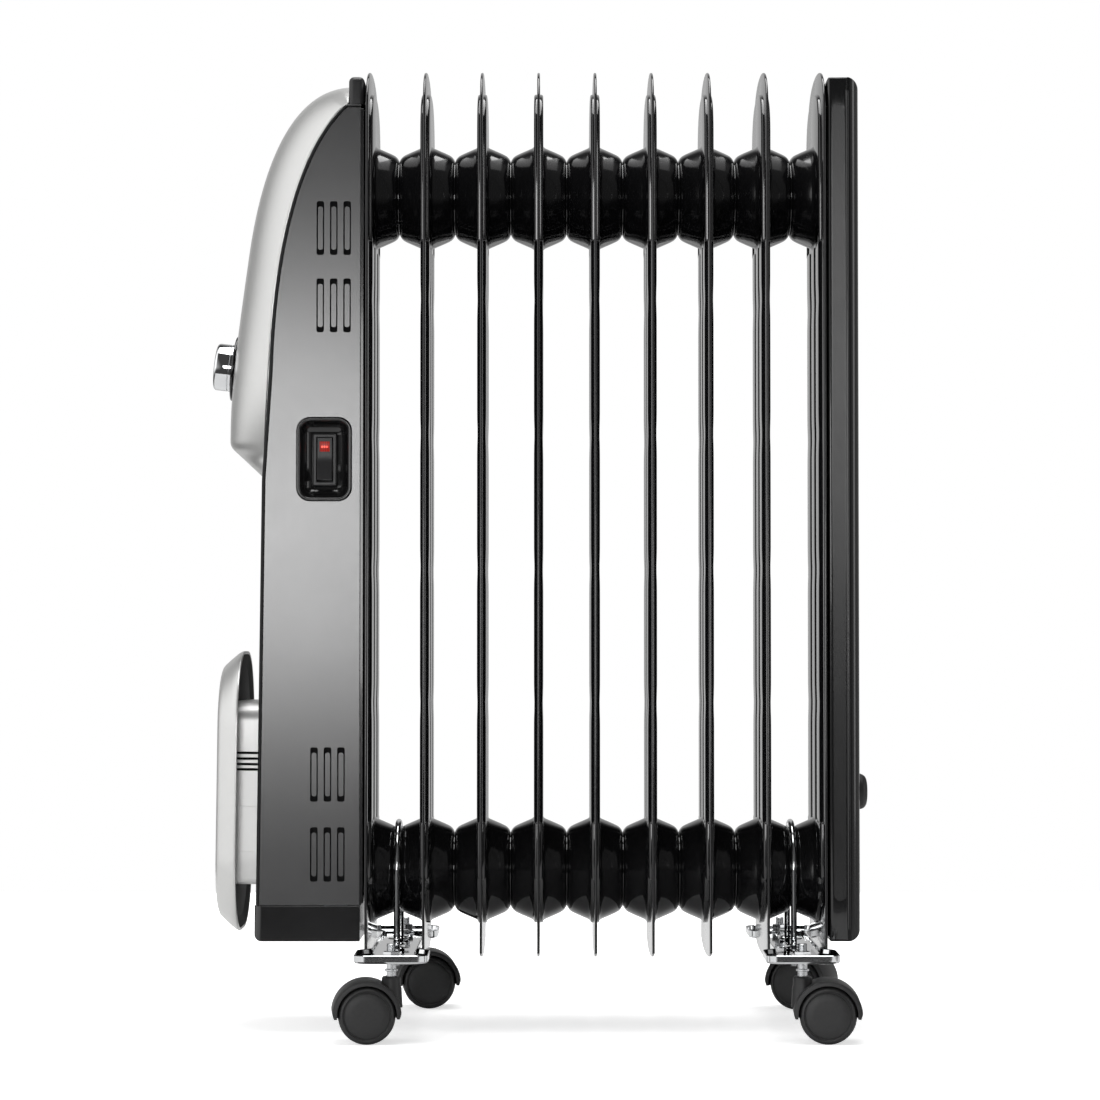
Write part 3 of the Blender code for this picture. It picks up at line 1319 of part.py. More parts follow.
def make_casters(finishes):
    """Four twin-wheel casters: each a fixed stem, a hood that swivels on it, an axle and two wheels."""
    hood_mesh = make_hood_mesh(finishes["caster_plastic"])
    for label, end, side, heading in CASTERS:
        foot = Vector((end * PLATE_X, side * CASTER_TRACK, 0.0))
        stem_profile = [
            (0.0, STEM_FOOT_Z),
            (STEM_RADIUS, STEM_FOOT_Z),
            (STEM_RADIUS, STEM_TOP_Z),
            (0.0, STEM_TOP_Z),
        ]
        stem = place(turned(stem_profile, 12), Matrix.Translation(foot))
        smooth(new_object("caster_stem_" + label, stem, finishes["zinc"], foot))
        swivel = bpy.data.objects.new("swivel_" + label, None)
        bpy.context.scene.collection.objects.link(swivel)
        swivel.parent = root
        swivel.location = foot
        swivel.rotation_euler.z = heading
        hood = new_from_mesh("caster_hood_" + label, hood_mesh, None, foot, swivel)
        hood.location = (0.0, 0.0, 0.0)
        smooth(hood)
        half_axle = WHEEL_SPACING / 2 + WHEEL_BORE_DEPTH - GAP
        hub = Vector((CASTER_TRAIL, 0.0, WHEEL_RADIUS))
        axle = cylinder((0, -half_axle, 0), (0, half_axle, 0), AXLE_RADIUS, 12)
        made = new_object("caster_axle_" + label, axle, finishes["zinc"], parent=swivel)
        made.location = hub
        for wheel, direction in (("a", -1), ("b", 1)):
            start = Vector((0.0, direction * WHEEL_SPACING / 2, 0.0))
            bm = place(turned(wheel_profile(), WHEEL_STEPS), along_axis(start, (0, direction, 0)))
            name = f"caster_wheel_{label}_{wheel}"
            made = new_object(name, bm, finishes["caster_plastic"], parent=swivel)
            made.location = hub
            smooth(made)


# ---------------------------------------------------------------- assembly


def centre_on_base():
    """Moves the heater so that the origin is the centre of the base of its box."""
    bpy.context.view_layer.update()
    graph = bpy.context.evaluated_depsgraph_get()
    low, high = [math.inf] * 3, [-math.inf] * 3
    for item in bpy.data.objects:
        if item.type == "EMPTY" or item.hide_render:
            continue
        evaluated = item.evaluated_get(graph)
        mesh = evaluated.to_mesh()
        for vert in mesh.vertices:
            point = evaluated.matrix_world @ vert.co
            low = [min(pair) for pair in zip(low, point)]
            high = [max(pair) for pair in zip(high, point)]
        evaluated.to_mesh_clear()
    root.location = (-(low[0] + high[0]) / 2, -(low[1] + high[1]) / 2, -low[2])


def main():
    """Builds the whole heater."""
    global root
    clear_scene()
    root = bpy.data.objects.new("heater", None)
    bpy.context.scene.collection.objects.link(root)
    finishes = make_materials()
    make_fins(finishes["black_enamel"])
    make_element(finishes["element_steel"], finishes["zinc"])
    make_housing(finishes)
    make_panel(finishes["silver_plastic"])
    make_grip(finishes["black_plastic"])
    make_thermostat(finishes)
    make_switch(finishes)
    make_inside(finishes)
    make_cord_store(finishes)
    make_rear_cover(finishes)
    for label, x in (("front", -PLATE_X), ("rear", PLATE_X)):
        make_plate(label, x, finishes)
    make_casters(finishes)
    centre_on_base()


main()
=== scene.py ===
"""Looks of the oil filled radiator heater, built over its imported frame.

Metres, +Z up. X runs along the heater from the control housing (-X) to the rear cover (+X), and the rocker
switch faces -Y. Each sub-assembly is a class that builds its own pieces around the frame's nodes.
"""

import json
import logging
import math
from collections.abc import Callable, Iterable, Sequence
from dataclasses import dataclass, field
from enum import Enum

import bmesh
import bpy
from mathutils import Matrix, Vector
from mathutils.geometry import interpolate_bezier

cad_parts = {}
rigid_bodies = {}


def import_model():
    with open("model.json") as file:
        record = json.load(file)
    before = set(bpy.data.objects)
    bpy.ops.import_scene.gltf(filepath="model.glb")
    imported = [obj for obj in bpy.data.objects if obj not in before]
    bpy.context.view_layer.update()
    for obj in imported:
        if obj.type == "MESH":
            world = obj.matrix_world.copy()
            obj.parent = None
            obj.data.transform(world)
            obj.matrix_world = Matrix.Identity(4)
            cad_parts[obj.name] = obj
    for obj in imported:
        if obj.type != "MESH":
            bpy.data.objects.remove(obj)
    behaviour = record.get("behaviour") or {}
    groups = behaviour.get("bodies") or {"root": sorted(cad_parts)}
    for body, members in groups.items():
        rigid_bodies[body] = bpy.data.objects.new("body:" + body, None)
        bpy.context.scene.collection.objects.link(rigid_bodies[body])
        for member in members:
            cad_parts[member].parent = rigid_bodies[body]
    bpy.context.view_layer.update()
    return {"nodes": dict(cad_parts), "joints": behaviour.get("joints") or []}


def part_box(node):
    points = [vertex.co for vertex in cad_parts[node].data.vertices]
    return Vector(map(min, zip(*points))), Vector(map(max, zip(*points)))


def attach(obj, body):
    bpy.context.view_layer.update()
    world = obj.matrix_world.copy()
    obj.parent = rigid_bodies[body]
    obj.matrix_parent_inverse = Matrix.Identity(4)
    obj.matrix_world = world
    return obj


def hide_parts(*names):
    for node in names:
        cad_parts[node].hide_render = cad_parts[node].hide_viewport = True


for startup in list(bpy.data.objects):
    bpy.data.objects.remove(startup, do_unlink=True)
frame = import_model()

MM = 0.001
LOG = logging.getLogger("heater")
Pair = tuple[float, float]
Colour = tuple[float, float, float]
Tree = bpy.types.NodeTree
Node = bpy.types.Node
Socket = bpy.types.NodeSocket


class Slot(Enum):
    """The record's material slots."""

    ENAMEL = "black_enamel"
    HOUSING = "housing_plastic"
    GLOSS = "black_plastic"
    SILVER = "silver_plastic"
    CHROME = "chrome"
    ZINC = "zinc"
    GALVANISED = "galvanised"
    ELEMENT = "element_steel"
    CASTER = "caster_plastic"
    CERAMIC = "ceramic"
    LENS = "red_lens"
    RUBBER = "rubber"


class Plane(Enum):
    """Which two axes an outline's pairs stand for."""

    XZ = "xz"
    YZ = "yz"
    XY = "xy"


# ---------------------------------------------------------------- finishes


@dataclass(frozen=True)
class Finish:
    """One surface: its colour, gloss and the small unevenness that the real material has."""

    slot: Slot
    colour: Colour
    roughness: float
    metallic: float = 0.0
    coat: float = 0.0
    coat_roughness: float = 0.05
    ior: float = 1.5
    grain_scale: float = 900.0
    grain_height: float = 0.02 * MM
    grain_strength: float = 0.1
    grain_stretch: tuple[float, float, float] = (1.0, 1.0, 1.0)
    tint: float = 0.08
    roughness_spread: float = 0.04
    dust: float = 0.05
    glow: float = 0.0
    glow_colour: Colour = (1.0, 0.05, 0.02)


FINISHES: dict[str, Finish] = {
    "enamel": Finish(
        Slot.ENAMEL, (0.006, 0.006, 0.0068), 0.11, coat=0.5, grain_scale=260.0, grain_height=0.03 * MM,
        grain_strength=0.05, roughness_spread=0.03, dust=0.03,
    ),
    "housing": Finish(
        Slot.HOUSING, (0.018, 0.018, 0.019), 0.21, coat=0.1, coat_roughness=0.2, ior=1.9, grain_scale=2600.0,
        grain_height=0.012 * MM, grain_strength=0.12, roughness_spread=0.03, dust=0.03,
    ),
    "strip": Finish(
        Slot.HOUSING, (0.014, 0.014, 0.0145), 0.24, ior=1.62, grain_scale=2200.0, grain_strength=0.12,
        dust=0.03,
    ),
    "gloss": Finish(
        Slot.GLOSS, (0.006, 0.006, 0.0065), 0.16, coat=0.4, grain_scale=500.0, grain_strength=0.04, dust=0.03
    ),
    # rim: a darker copy of the housing plastic for the shell's rounded edges and end walls; painted shade for
    # the dark surroundings that those edges reflect.
    "rim": Finish(
        Slot.GLOSS, (0.005, 0.005, 0.0055), 0.2, ior=1.3, grain_scale=900.0, grain_strength=0.06, dust=0.02
    ),
    "matt": Finish(
        Slot.GLOSS, (0.004, 0.004, 0.0045), 0.55, ior=1.2, grain_scale=1500.0, grain_strength=0.2, dust=0.03
    ),
    "satin": Finish(
        Slot.GLOSS, (0.016, 0.016, 0.017), 0.36, grain_scale=2200.0, grain_strength=0.14, dust=0.03
    ),
    "silver": Finish(
        Slot.SILVER, (0.66, 0.66, 0.65), 0.3, metallic=0.6, coat=0.2, coat_roughness=0.12,
        grain_scale=3200.0, grain_height=0.01 * MM, grain_strength=0.1, tint=0.05, dust=0.02,
    ),
    "core": Finish(
        Slot.SILVER, (0.88, 0.88, 0.87), 0.4, metallic=0.7, grain_scale=2600.0, grain_strength=0.1,
        tint=0.04, dust=0.03,
    ),
    "chrome": Finish(
        Slot.CHROME, (0.76, 0.77, 0.78), 0.05, metallic=1.0, grain_scale=120.0, grain_height=0.02 * MM,
        grain_strength=0.03, tint=0.03, roughness_spread=0.03, dust=0.02,
    ),
    "zinc": Finish(
        Slot.ZINC, (0.6, 0.61, 0.62), 0.26, metallic=1.0, grain_scale=700.0, grain_strength=0.15,
        tint=0.12, roughness_spread=0.1, dust=0.05,
    ),
    "galvanised": Finish(
        Slot.GALVANISED, (0.56, 0.57, 0.57), 0.4, metallic=0.8, grain_scale=160.0, grain_strength=0.12,
        tint=0.25, roughness_spread=0.15,
    ),
    "element": Finish(
        Slot.ELEMENT, (0.3, 0.28, 0.26), 0.42, metallic=1.0, grain_scale=500.0, grain_strength=0.25,
        grain_stretch=(0.1, 1.0, 1.0), tint=0.3, roughness_spread=0.15,
    ),
    "caster": Finish(
        Slot.CASTER, (0.012, 0.012, 0.0125), 0.45, grain_scale=1900.0, grain_height=0.03 * MM,
        grain_strength=0.25, tint=0.12, roughness_spread=0.08, dust=0.1,
    ),
    "ceramic": Finish(
        Slot.CERAMIC, (0.74, 0.71, 0.63), 0.55, grain_scale=1100.0, grain_strength=0.3, tint=0.12
    ),
    "lens": Finish(
        Slot.LENS, (0.2, 0.006, 0.006), 0.3, grain_scale=900.0, grain_strength=0.1, glow=0.3
    ),
    "lamp": Finish(
        Slot.LENS, (0.5, 0.02, 0.015), 0.4, grain_scale=900.0, glow=2.2, glow_colour=(1.0, 0.12, 0.08)
    ),
    "rubber": Finish(
        Slot.RUBBER, (0.014, 0.014, 0.014), 0.5, grain_scale=1500.0, grain_height=0.04 * MM,
        grain_strength=0.3, tint=0.15, dust=0.08,
    ),
    "marking": Finish(Slot.SILVER, (0.7, 0.7, 0.7), 0.45, grain_scale=2000.0, grain_strength=0.08),
    "floor": Finish(
        Slot.SILVER, (0.9, 0.9, 0.9), 0.75, grain_scale=30.0, grain_strength=0.02, tint=0.01, dust=0.0
    ),
}


class NodeGroups:
    """The shader groups that every finish shares, each built once."""

    def __init__(self) -> None:
        """Builds the three groups."""
        self.grain = self.build_grain()
        self.mottle = self.build_mottle()
        self.dust = self.build_dust()

    @staticmethod
    def start(
        name: str, inputs: Iterable[tuple[str, str, object]], outputs: Iterable[tuple[str, str]]
    ) -> tuple[Tree, Node, Node]:
        """Makes an empty group with its sockets.

        Args:
            name: the group's name.
            inputs: (name, socket type, default) of each input.
            outputs: (name, socket type) of each output.

        Returns:
            The node tree with its group input and group output nodes.
        """
        tree = bpy.data.node_groups.new(name, "ShaderNodeTree")
        for label, kind, default in inputs:
            made = tree.interface.new_socket(label, in_out="INPUT", socket_type=kind)
            if default is not None:
                made.default_value = default
        for label, kind in outputs:
            tree.interface.new_socket(label, in_out="OUTPUT", socket_type=kind)
        return tree, tree.nodes.new("NodeGroupInput"), tree.nodes.new("NodeGroupOutput")

    @staticmethod
    def maths(tree: Tree, operation: str, first: Socket | float, second: Socket | float) -> Socket:
        """Adds a Math node.

        Args:
            tree: the node tree.
            operation: the Math node's operation.
            first: a socket or a number.
            second: a socket or a number.

        Returns:
            The node's output socket.
        """
        node = tree.nodes.new("ShaderNodeMath")
        node.operation = operation
        for index, value in enumerate((first, second)):
            if isinstance(value, (int, float)):
                node.inputs[index].default_value = value
            else:
                tree.links.new(value, node.inputs[index])
        return node.outputs[0]

    @staticmethod
    def noise(
        tree: Tree, vector: Socket, scale: Socket | float, detail: float, roughness: float = 0.5
    ) -> Socket:
        """Adds a Noise Texture node.

        Args:
            tree: the node tree.
            vector: the socket its coordinates come from.
            scale: a socket or a number.
            detail: its detail.
            roughness: its roughness.

        Returns:
            The node's value output.
        """
        node = tree.nodes.new("ShaderNodeTexNoise")
        node.inputs["Detail"].default_value = detail
        node.inputs["Roughness"].default_value = roughness
        tree.links.new(vector, node.inputs["Vector"])
        if isinstance(scale, (int, float)):
            node.inputs["Scale"].default_value = scale
        else:
            tree.links.new(scale, node.inputs["Scale"])
        return node.outputs[0]

    def build_grain(self) -> Tree:
        """Builds the fine grain that a moulding or a paint has, as a height.

        Returns:
            The group.
        """
        tree, given, made = self.start(
            "surface_grain",
            (("Vector", "NodeSocketVector", None), ("Scale", "NodeSocketFloat", 900.0)),
            (("Height", "NodeSocketFloat"),),
        )
        fine = self.noise(tree, given.outputs["Vector"], given.outputs["Scale"], 3.0)
        coarse_scale = self.maths(tree, "MULTIPLY", given.outputs["Scale"], 0.13)
        coarse = self.noise(tree, given.outputs["Vector"], coarse_scale, 2.0)
        weighted = self.maths(tree, "MULTIPLY", coarse, 0.6)
        tree.links.new(self.maths(tree, "ADD", fine, weighted), made.inputs["Height"])
        return tree

    def build_mottle(self) -> Tree:
        """Builds slow changes of colour and gloss over a surface.

        Returns:
            The group.
        """
        tree, given, made = self.start(
            "slow_mottle",
            (
                ("Vector", "NodeSocketVector", None),
                ("Colour", "NodeSocketColor", (0.5, 0.5, 0.5, 1.0)),
                ("Tint", "NodeSocketFloat", 0.1),
                ("Roughness", "NodeSocketFloat", 0.4),
                ("Spread", "NodeSocketFloat", 0.05),
            ),
            (("Colour", "NodeSocketColor"), ("Roughness", "NodeSocketFloat")),
        )
        broad = self.noise(tree, given.outputs["Vector"], 22.0, 4.0, 0.6)
        small = self.noise(tree, given.outputs["Vector"], 190.0, 3.0, 0.6)
        both = self.maths(tree, "ADD", broad, small)
        centred = self.maths(tree, "SUBTRACT", both, 1.0)
        tint = self.maths(tree, "MULTIPLY", centred, given.outputs["Tint"])
        level = self.maths(tree, "ADD", tint, 1.0)
        scaled = tree.nodes.new("ShaderNodeVectorMath")
        scaled.operation = "SCALE"
        tree.links.new(given.outputs["Colour"], scaled.inputs[0])
        tree.links.new(level, scaled.inputs["Scale"])
        tree.links.new(scaled.outputs[0], made.inputs["Colour"])
        change = self.maths(tree, "MULTIPLY", centred, given.outputs["Spread"])
        rough = self.maths(tree, "ADD", change, given.outputs["Roughness"])
        tree.links.new(self.maths(tree, "MAXIMUM", rough, 0.02), made.inputs["Roughness"])
        return tree

    def build_dust(self) -> Tree:
        """Builds the thin dust that settles on upward faces.

        Returns:
            The group.
        """
        tree, given, made = self.start(
            "settled_dust",
            (
                ("Vector", "NodeSocketVector", None),
                ("Colour", "NodeSocketColor", (0.5, 0.5, 0.5, 1.0)),
                ("Roughness", "NodeSocketFloat", 0.4),
                ("Amount", "NodeSocketFloat", 0.1),
            ),
            (("Colour", "NodeSocketColor"), ("Roughness", "NodeSocketFloat")),
        )
        geometry = tree.nodes.new("ShaderNodeNewGeometry")
        parts = tree.nodes.new("ShaderNodeSeparateXYZ")
        tree.links.new(geometry.outputs["Normal"], parts.inputs[0])
        upward = self.maths(tree, "MAXIMUM", parts.outputs["Z"], 0.0)
        speckle = self.noise(tree, given.outputs["Vector"], 420.0, 4.0, 0.7)
        contrast = self.maths(tree, "MULTIPLY", self.maths(tree, "SUBTRACT", speckle, 0.35), 2.2)
        bounded = self.maths(tree, "MINIMUM", self.maths(tree, "MAXIMUM", contrast, 0.0), 1.0)
        reach = self.maths(tree, "ADD", self.maths(tree, "MULTIPLY", upward, 0.8), 0.2)
        mask = self.maths(
            tree, "MULTIPLY", self.maths(tree, "MULTIPLY", bounded, reach), given.outputs["Amount"]
        )
        mix = tree.nodes.new("ShaderNodeMix")
        mix.data_type = "RGBA"
        tree.links.new(mask, mix.inputs["Factor"])
        tree.links.new(given.outputs["Colour"], mix.inputs["A"])
        mix.inputs["B"].default_value = (0.32, 0.31, 0.29, 1.0)
        tree.links.new(mix.outputs["Result"], made.inputs["Colour"])
        duller = self.maths(tree, "ADD", given.outputs["Roughness"], self.maths(tree, "MULTIPLY", mask, 0.6))
        tree.links.new(duller, made.inputs["Roughness"])
        return tree


class PaintShop:
    """Makes each finish's material once and hands it out."""

    def __init__(self) -> None:
        """Builds the shared groups."""
        self.groups = NodeGroups()
        self.made: dict[str, bpy.types.Material] = {}

    def material(self, name: str) -> bpy.types.Material:
        """Gives the material of a finish.

        Args:
            name: the finish's name in FINISHES.

        Returns:
            The material, made on first use.
        """
        if name not in self.made:
            self.made[name] = self.mix(name, FINISHES[name])
        return self.made[name]

    def mix(self, name: str, finish: Finish) -> bpy.types.Material:
        """Builds the node material of a finish.

        Args:
            name: the material's name.
            finish: the surface it shows.

        Returns:
            The new material.
        """
        made = bpy.data.materials.new(name)
        made.use_nodes = True
        tree = made.node_tree
        shader = tree.nodes["Principled BSDF"]
        shader.inputs["Metallic"].default_value = finish.metallic
        shader.inputs["IOR"].default_value = finish.ior
        shader.inputs["Coat Weight"].default_value = finish.coat
        shader.inputs["Coat Roughness"].default_value = finish.coat_roughness
        place = tree.nodes.new("ShaderNodeTexCoord")
        stretch = tree.nodes.new("ShaderNodeMapping")
        stretch.inputs["Scale"].default_value = finish.grain_stretch
        tree.links.new(place.outputs["Object"], stretch.inputs["Vector"])
        mottle = self.group_node(tree, self.groups.mottle)
        tree.links.new(stretch.outputs["Vector"], mottle.inputs["Vector"])
        mottle.inputs["Colour"].default_value = (*finish.colour, 1.0)
        mottle.inputs["Tint"].default_value = finish.tint
        mottle.inputs["Roughness"].default_value = finish.roughness
        mottle.inputs["Spread"].default_value = finish.roughness_spread
        dust = self.group_node(tree, self.groups.dust)
        tree.links.new(place.outputs["Object"], dust.inputs["Vector"])
        tree.links.new(mottle.outputs["Colour"], dust.inputs["Colour"])
        tree.links.new(mottle.outputs["Roughness"], dust.inputs["Roughness"])
        dust.inputs["Amount"].default_value = finish.dust
        tree.links.new(dust.outputs["Colour"], shader.inputs["Base Color"])
        tree.links.new(dust.outputs["Roughness"], shader.inputs["Roughness"])
        grain = self.group_node(tree, self.groups.grain)
        tree.links.new(stretch.outputs["Vector"], grain.inputs["Vector"])
        grain.inputs["Scale"].default_value = finish.grain_scale
        bump = tree.nodes.new("ShaderNodeBump")
        bump.inputs["Strength"].default_value = finish.grain_strength
        bump.inputs["Distance"].default_value = finish.grain_height
        tree.links.new(grain.outputs["Height"], bump.inputs["Height"])
        tree.links.new(bump.outputs["Normal"], shader.inputs["Normal"])
        if finish.glow:
            self.light_up(tree, shader, place, finish)
        return made

    @staticmethod
    def group_node(tree: Tree, group: Tree) -> Node:
        """Places a group in a material's tree.

        Args:
            tree: the material's tree.
            group: the group's tree.

        Returns:
            The group's node.
        """
        node = tree.nodes.new("ShaderNodeGroup")
        node.node_tree = group
        return node

    @staticmethod
    def light_up(tree: Tree, shader: Node, place: Node, finish: Finish) -> None:
        """Lights a lens from behind, brighter at the lamp's three cells.

        Args:
            tree: the material's tree.
            shader: its Principled BSDF.
            place: its Texture Coordinate node.
            finish: the lens's finish.
        """
        cells = tree.nodes.new("ShaderNodeTexWave")
        cells.inputs["Scale"].default_value = 210.0
        cells.inputs["Distortion"].default_value = 0.6
        tree.links.new(place.outputs["Object"], cells.inputs["Vector"])
        ramp = tree.nodes.new("ShaderNodeValToRGB")
        ramp.color_ramp.elements[0].color = (0.25, 0.004, 0.002, 1.0)
        ramp.color_ramp.elements[1].color = (*finish.glow_colour, 1.0)
        tree.links.new(cells.outputs["Fac"], ramp.inputs["Fac"])
        tree.links.new(ramp.outputs["Color"], shader.inputs["Emission Color"])
        shader.inputs["Emission Strength"].default_value = finish.glow


# ---------------------------------------------------------------- outlines


def curve(start: Pair, start_handle: Pair, end_handle: Pair, end: Pair, steps: int) -> list[Pair]:
    """Points along one Bezier stretch, both ends included.

    Args:
        start: the first point.
        start_handle: its handle.
        end_handle: the last point's handle.
        end: the last point.
        steps: how many stretches the line has.

    Returns:
        The points as pairs.
    """
    ends = [Vector((pair[0], pair[1], 0.0)) for pair in (start, start_handle, end_handle, end)]
    return [(point.x, point.y) for point in interpolate_bezier(*ends, steps + 1)]


def arc(centre: Pair, radius: float, start: float, end: float, steps: int) -> list[Pair]:
    """Points along one arc, both ends included.

    Args:
        centre: the arc's centre.
        radius: its radius.
        start: its first angle in radians.
        end: its last angle in radians.
        steps: how many stretches the line has.

    Returns:
        The points as pairs.
    """
    angles = [start + (end - start) * step / steps for step in range(steps + 1)]
    return [(centre[0] + radius * math.cos(a), centre[1] + radius * math.sin(a)) for a in angles]


def rounded_rectangle(
    width: float, height: float, corner: float, steps: int, centre: Pair = (0.0, 0.0)
) -> list[Pair]:
    """A closed outline with four round corners, counter-clockwise.

    Args:
        width: its full width.
        height: its full height.
        corner: the corners' radius.
        steps: stretches in each corner.
        centre: its middle.

    Returns:
        The points as pairs.
    """
    corner = min(corner, width / 2, height / 2)
    points: list[Pair] = []
    for quarter, (side, level) in enumerate(((1, 1), (-1, 1), (-1, -1), (1, -1))):
        middle = (centre[0] + side * (width / 2 - corner), centre[1] + level * (height / 2 - corner))
        start = quarter * math.pi / 2
        points += arc(middle, corner, start, start + math.pi / 2, steps)
    return distinct(points)


def distinct(points: Sequence[Pair]) -> list[Pair]:
    """The same closed outline without neighbours that fall on each other.

    Args:
        points: the outline's points.

    Returns:
        The points that are left.
    """
    kept: list[Pair] = []
    for point in points:
        if not kept or math.dist(point, kept[-1]) > 1e-6:
            kept.append(point)
    return kept[:-1] if math.dist(kept[0], kept[-1]) <= 1e-6 else kept


def filled(line: Sequence[Pair], step: float) -> list[Pair]:
    """A line with points added so that none of its runs is longer than a step.

    Args:
        line: the line's points.
        step: the longest run.

    Returns:
        The points of the filled line.
    """
    made = [line[0]]
    for (x, z), (next_x, next_z) in zip(line, line[1:]):
        count = max(1, math.ceil(math.hypot(next_x - x, next_z - z) / step))
        for index in range(1, count + 1):
            share = index / count
            made.append((x + (next_x - x) * share, z + (next_z - z) * share))
    return made


def shifted(points: Sequence[Pair], distance: float) -> list[Pair]:
    """An open line moved sideways, to the left of its direction.

    Args:
        points: the line.
        distance: how far it moves.

    Returns:
        The moved line.
    """
    moved = []
    for index, point in enumerate(points):
        before = points[max(index - 1, 0)]
        after = points[min(index + 1, len(points) - 1)]
        along = Vector((after[0] - before[0], after[1] - before[1])).normalized()
        moved.append((point[0] - along.y * distance, point[1] + along.x * distance))
    return moved


def lifted(plane: Plane, pair: Pair, depth: float) -> Vector:
    """The point that a pair of a plane stands for, at a depth along the third axis.

    Args:
        plane: the plane the pair is drawn in.
        pair: its two coordinates.
        depth: the third coordinate.

    Returns:
        The point in space.
    """
    if plane is Plane.XZ:
        return Vector((pair[0], depth, pair[1]))
    if plane is Plane.YZ:
        return Vector((depth, pair[0], pair[1]))
    return Vector((pair[0], pair[1], depth))


def axis_matrix(origin: Sequence[float], direction: Sequence[float]) -> Matrix:
    """The matrix that stands +Z along a direction at a point."""
    turn = Vector(direction).to_track_quat("Z", "Y").to_matrix().to_4x4()
    return Matrix.Translation(Vector(origin)) @ turn


# ---------------------------------------------------------------- shapes


@dataclass
class Shape:
    """A piece under way: one bmesh and the operators that the sub-assemblies use on it."""

    bm: bmesh.types.BMesh = field(default_factory=bmesh.new)

    def prism(self, outline: Sequence[Pair], plane: Plane, start: float, depth: float) -> "Shape":
        """Adds a closed prism.

        Args:
            outline: its closed outline.
            plane: the plane that the outline lies in.
            start: where its first face stands along the third axis.
            depth: how far it is extruded.

        Returns:
            This shape.
        """
        before = set(self.bm.faces)
        face = self.bm.faces.new([self.bm.verts.new(lifted(plane, pair, start)) for pair in outline])
        made = bmesh.ops.extrude_face_region(self.bm, geom=[face], use_keep_orig=True)
        top = [item for item in made["geom"] if isinstance(item, bmesh.types.BMVert)]
        bmesh.ops.translate(self.bm, verts=top, vec=lifted(plane, (0.0, 0.0), depth))
        bmesh.ops.recalc_face_normals(self.bm, faces=[item for item in self.bm.faces if item not in before])
        return self

    def block(self, low: Sequence[float], high: Sequence[float]) -> "Shape":
        """Adds a box between two corners.

        Args:
            low: the corner with the lowest coordinates.
            high: the opposite corner.

        Returns:
            This shape.
        """
        size = Vector(high) - Vector(low)
        matrix = Matrix.Translation((Vector(low) + Vector(high)) / 2) @ Matrix.Diagonal((*size, 1.0))
        bmesh.ops.create_cube(self.bm, size=1.0, matrix=matrix)
        return self

    def rod(self, start: Sequence[float], end: Sequence[float], radius: float, steps: int = 32) -> "Shape":
        """Adds a cylinder between two points.

        Args:
            start: the middle of its first end.
            end: the middle of its other end.
            radius: its radius.
            steps: the sides of its section.

        Returns:
            This shape.
        """
        along = Vector(end) - Vector(start)
        bmesh.ops.create_cone(
            self.bm, cap_ends=True, segments=steps, radius1=radius, radius2=radius, depth=along.length,
            matrix=axis_matrix(Vector(start) + along / 2, along),
        )
        return self

    def turned(self, profile: Sequence[Pair], matrix: Matrix, steps: int = 48, ring: bool = False) -> "Shape":
        """Adds a solid of revolution about the matrix's +Z.

        Args:
            profile: (radius, height) points, from axis to axis, or a closed ring.
            matrix: where the axis stands.
            steps: the sides of its section.
            ring: True where the profile is closed and clear of the axis.

        Returns:
            This shape.
        """
        other = bmesh.new()
        verts = [other.verts.new((radius, 0.0, height)) for radius, height in profile]
        pairs = list(zip(verts, verts[1:])) + ([(verts[-1], verts[0])] if ring else [])
        edges = [other.edges.new(pair) for pair in pairs]
        bmesh.ops.spin(
            other, geom=verts + edges, cent=(0.0, 0.0, 0.0), axis=(0.0, 0.0, 1.0), angle=2 * math.pi,
            steps=steps, use_merge=True,
        )
        bmesh.ops.remove_doubles(other, verts=other.verts[:], dist=1e-6)
        bmesh.ops.recalc_face_normals(other, faces=other.faces[:])
        bmesh.ops.transform(other, matrix=matrix, verts=other.verts[:])
        return self.absorb(other)

    def loft(self, loops: Sequence[Sequence[Vector]]) -> "Shape":
        """Adds a closed skin through loops of the same length, with both ends filled.

        Args:
            loops: closed loops of points, in order.

        Returns:
            This shape.
        """
        other = bmesh.new()
        rows = [[other.verts.new(point) for point in loop] for loop in loops]
        rims = [[other.edges.new((row[i - 1], row[i])) for i in range(len(row))] for row in rows]
        for near, far in zip(rims, rims[1:]):
            bmesh.ops.bridge_loops(other, edges=near + far)
        other.faces.new(rows[0])
        other.faces.new(rows[-1])
        bmesh.ops.recalc_face_normals(other, faces=other.faces[:])
        return self.absorb(other)

    def swept(self, path: Sequence[Vector], radius: float, resolution: int = 4) -> "Shape":
        """Adds a round rod along a path.

        Args:
            path: its centre line.
            radius: its radius.
            resolution: how finely its section is rounded.

        Returns:
            This shape.
        """
        line = bpy.data.curves.new("path", "CURVE")
        line.dimensions = "3D"
        line.bevel_depth = radius
        line.bevel_resolution = resolution
        line.use_fill_caps = True
        spline = line.splines.new("POLY")
        spline.points.add(len(path) - 1)
        for point, place in zip(spline.points, path):
            point.co = (*place, 1.0)
        carrier = bpy.data.objects.new("path", line)
        bpy.context.scene.collection.objects.link(carrier)
        other = bmesh.new()
        other.from_mesh(evaluated_mesh(carrier))
        bpy.data.objects.remove(carrier)
        bmesh.ops.remove_doubles(other, verts=other.verts[:], dist=1e-6)
        bmesh.ops.recalc_face_normals(other, faces=other.faces[:])
        return self.absorb(other)

    def absorb(self, other: bmesh.types.BMesh) -> "Shape":
        """Takes in another bmesh and frees it.

        Args:
            other: the bmesh.

        Returns:
            This shape.
        """
        mesh = bpy.data.meshes.new("carried")
        other.to_mesh(mesh)
        other.free()
        self.bm.from_mesh(mesh)
        bpy.data.meshes.remove(mesh)
        return self

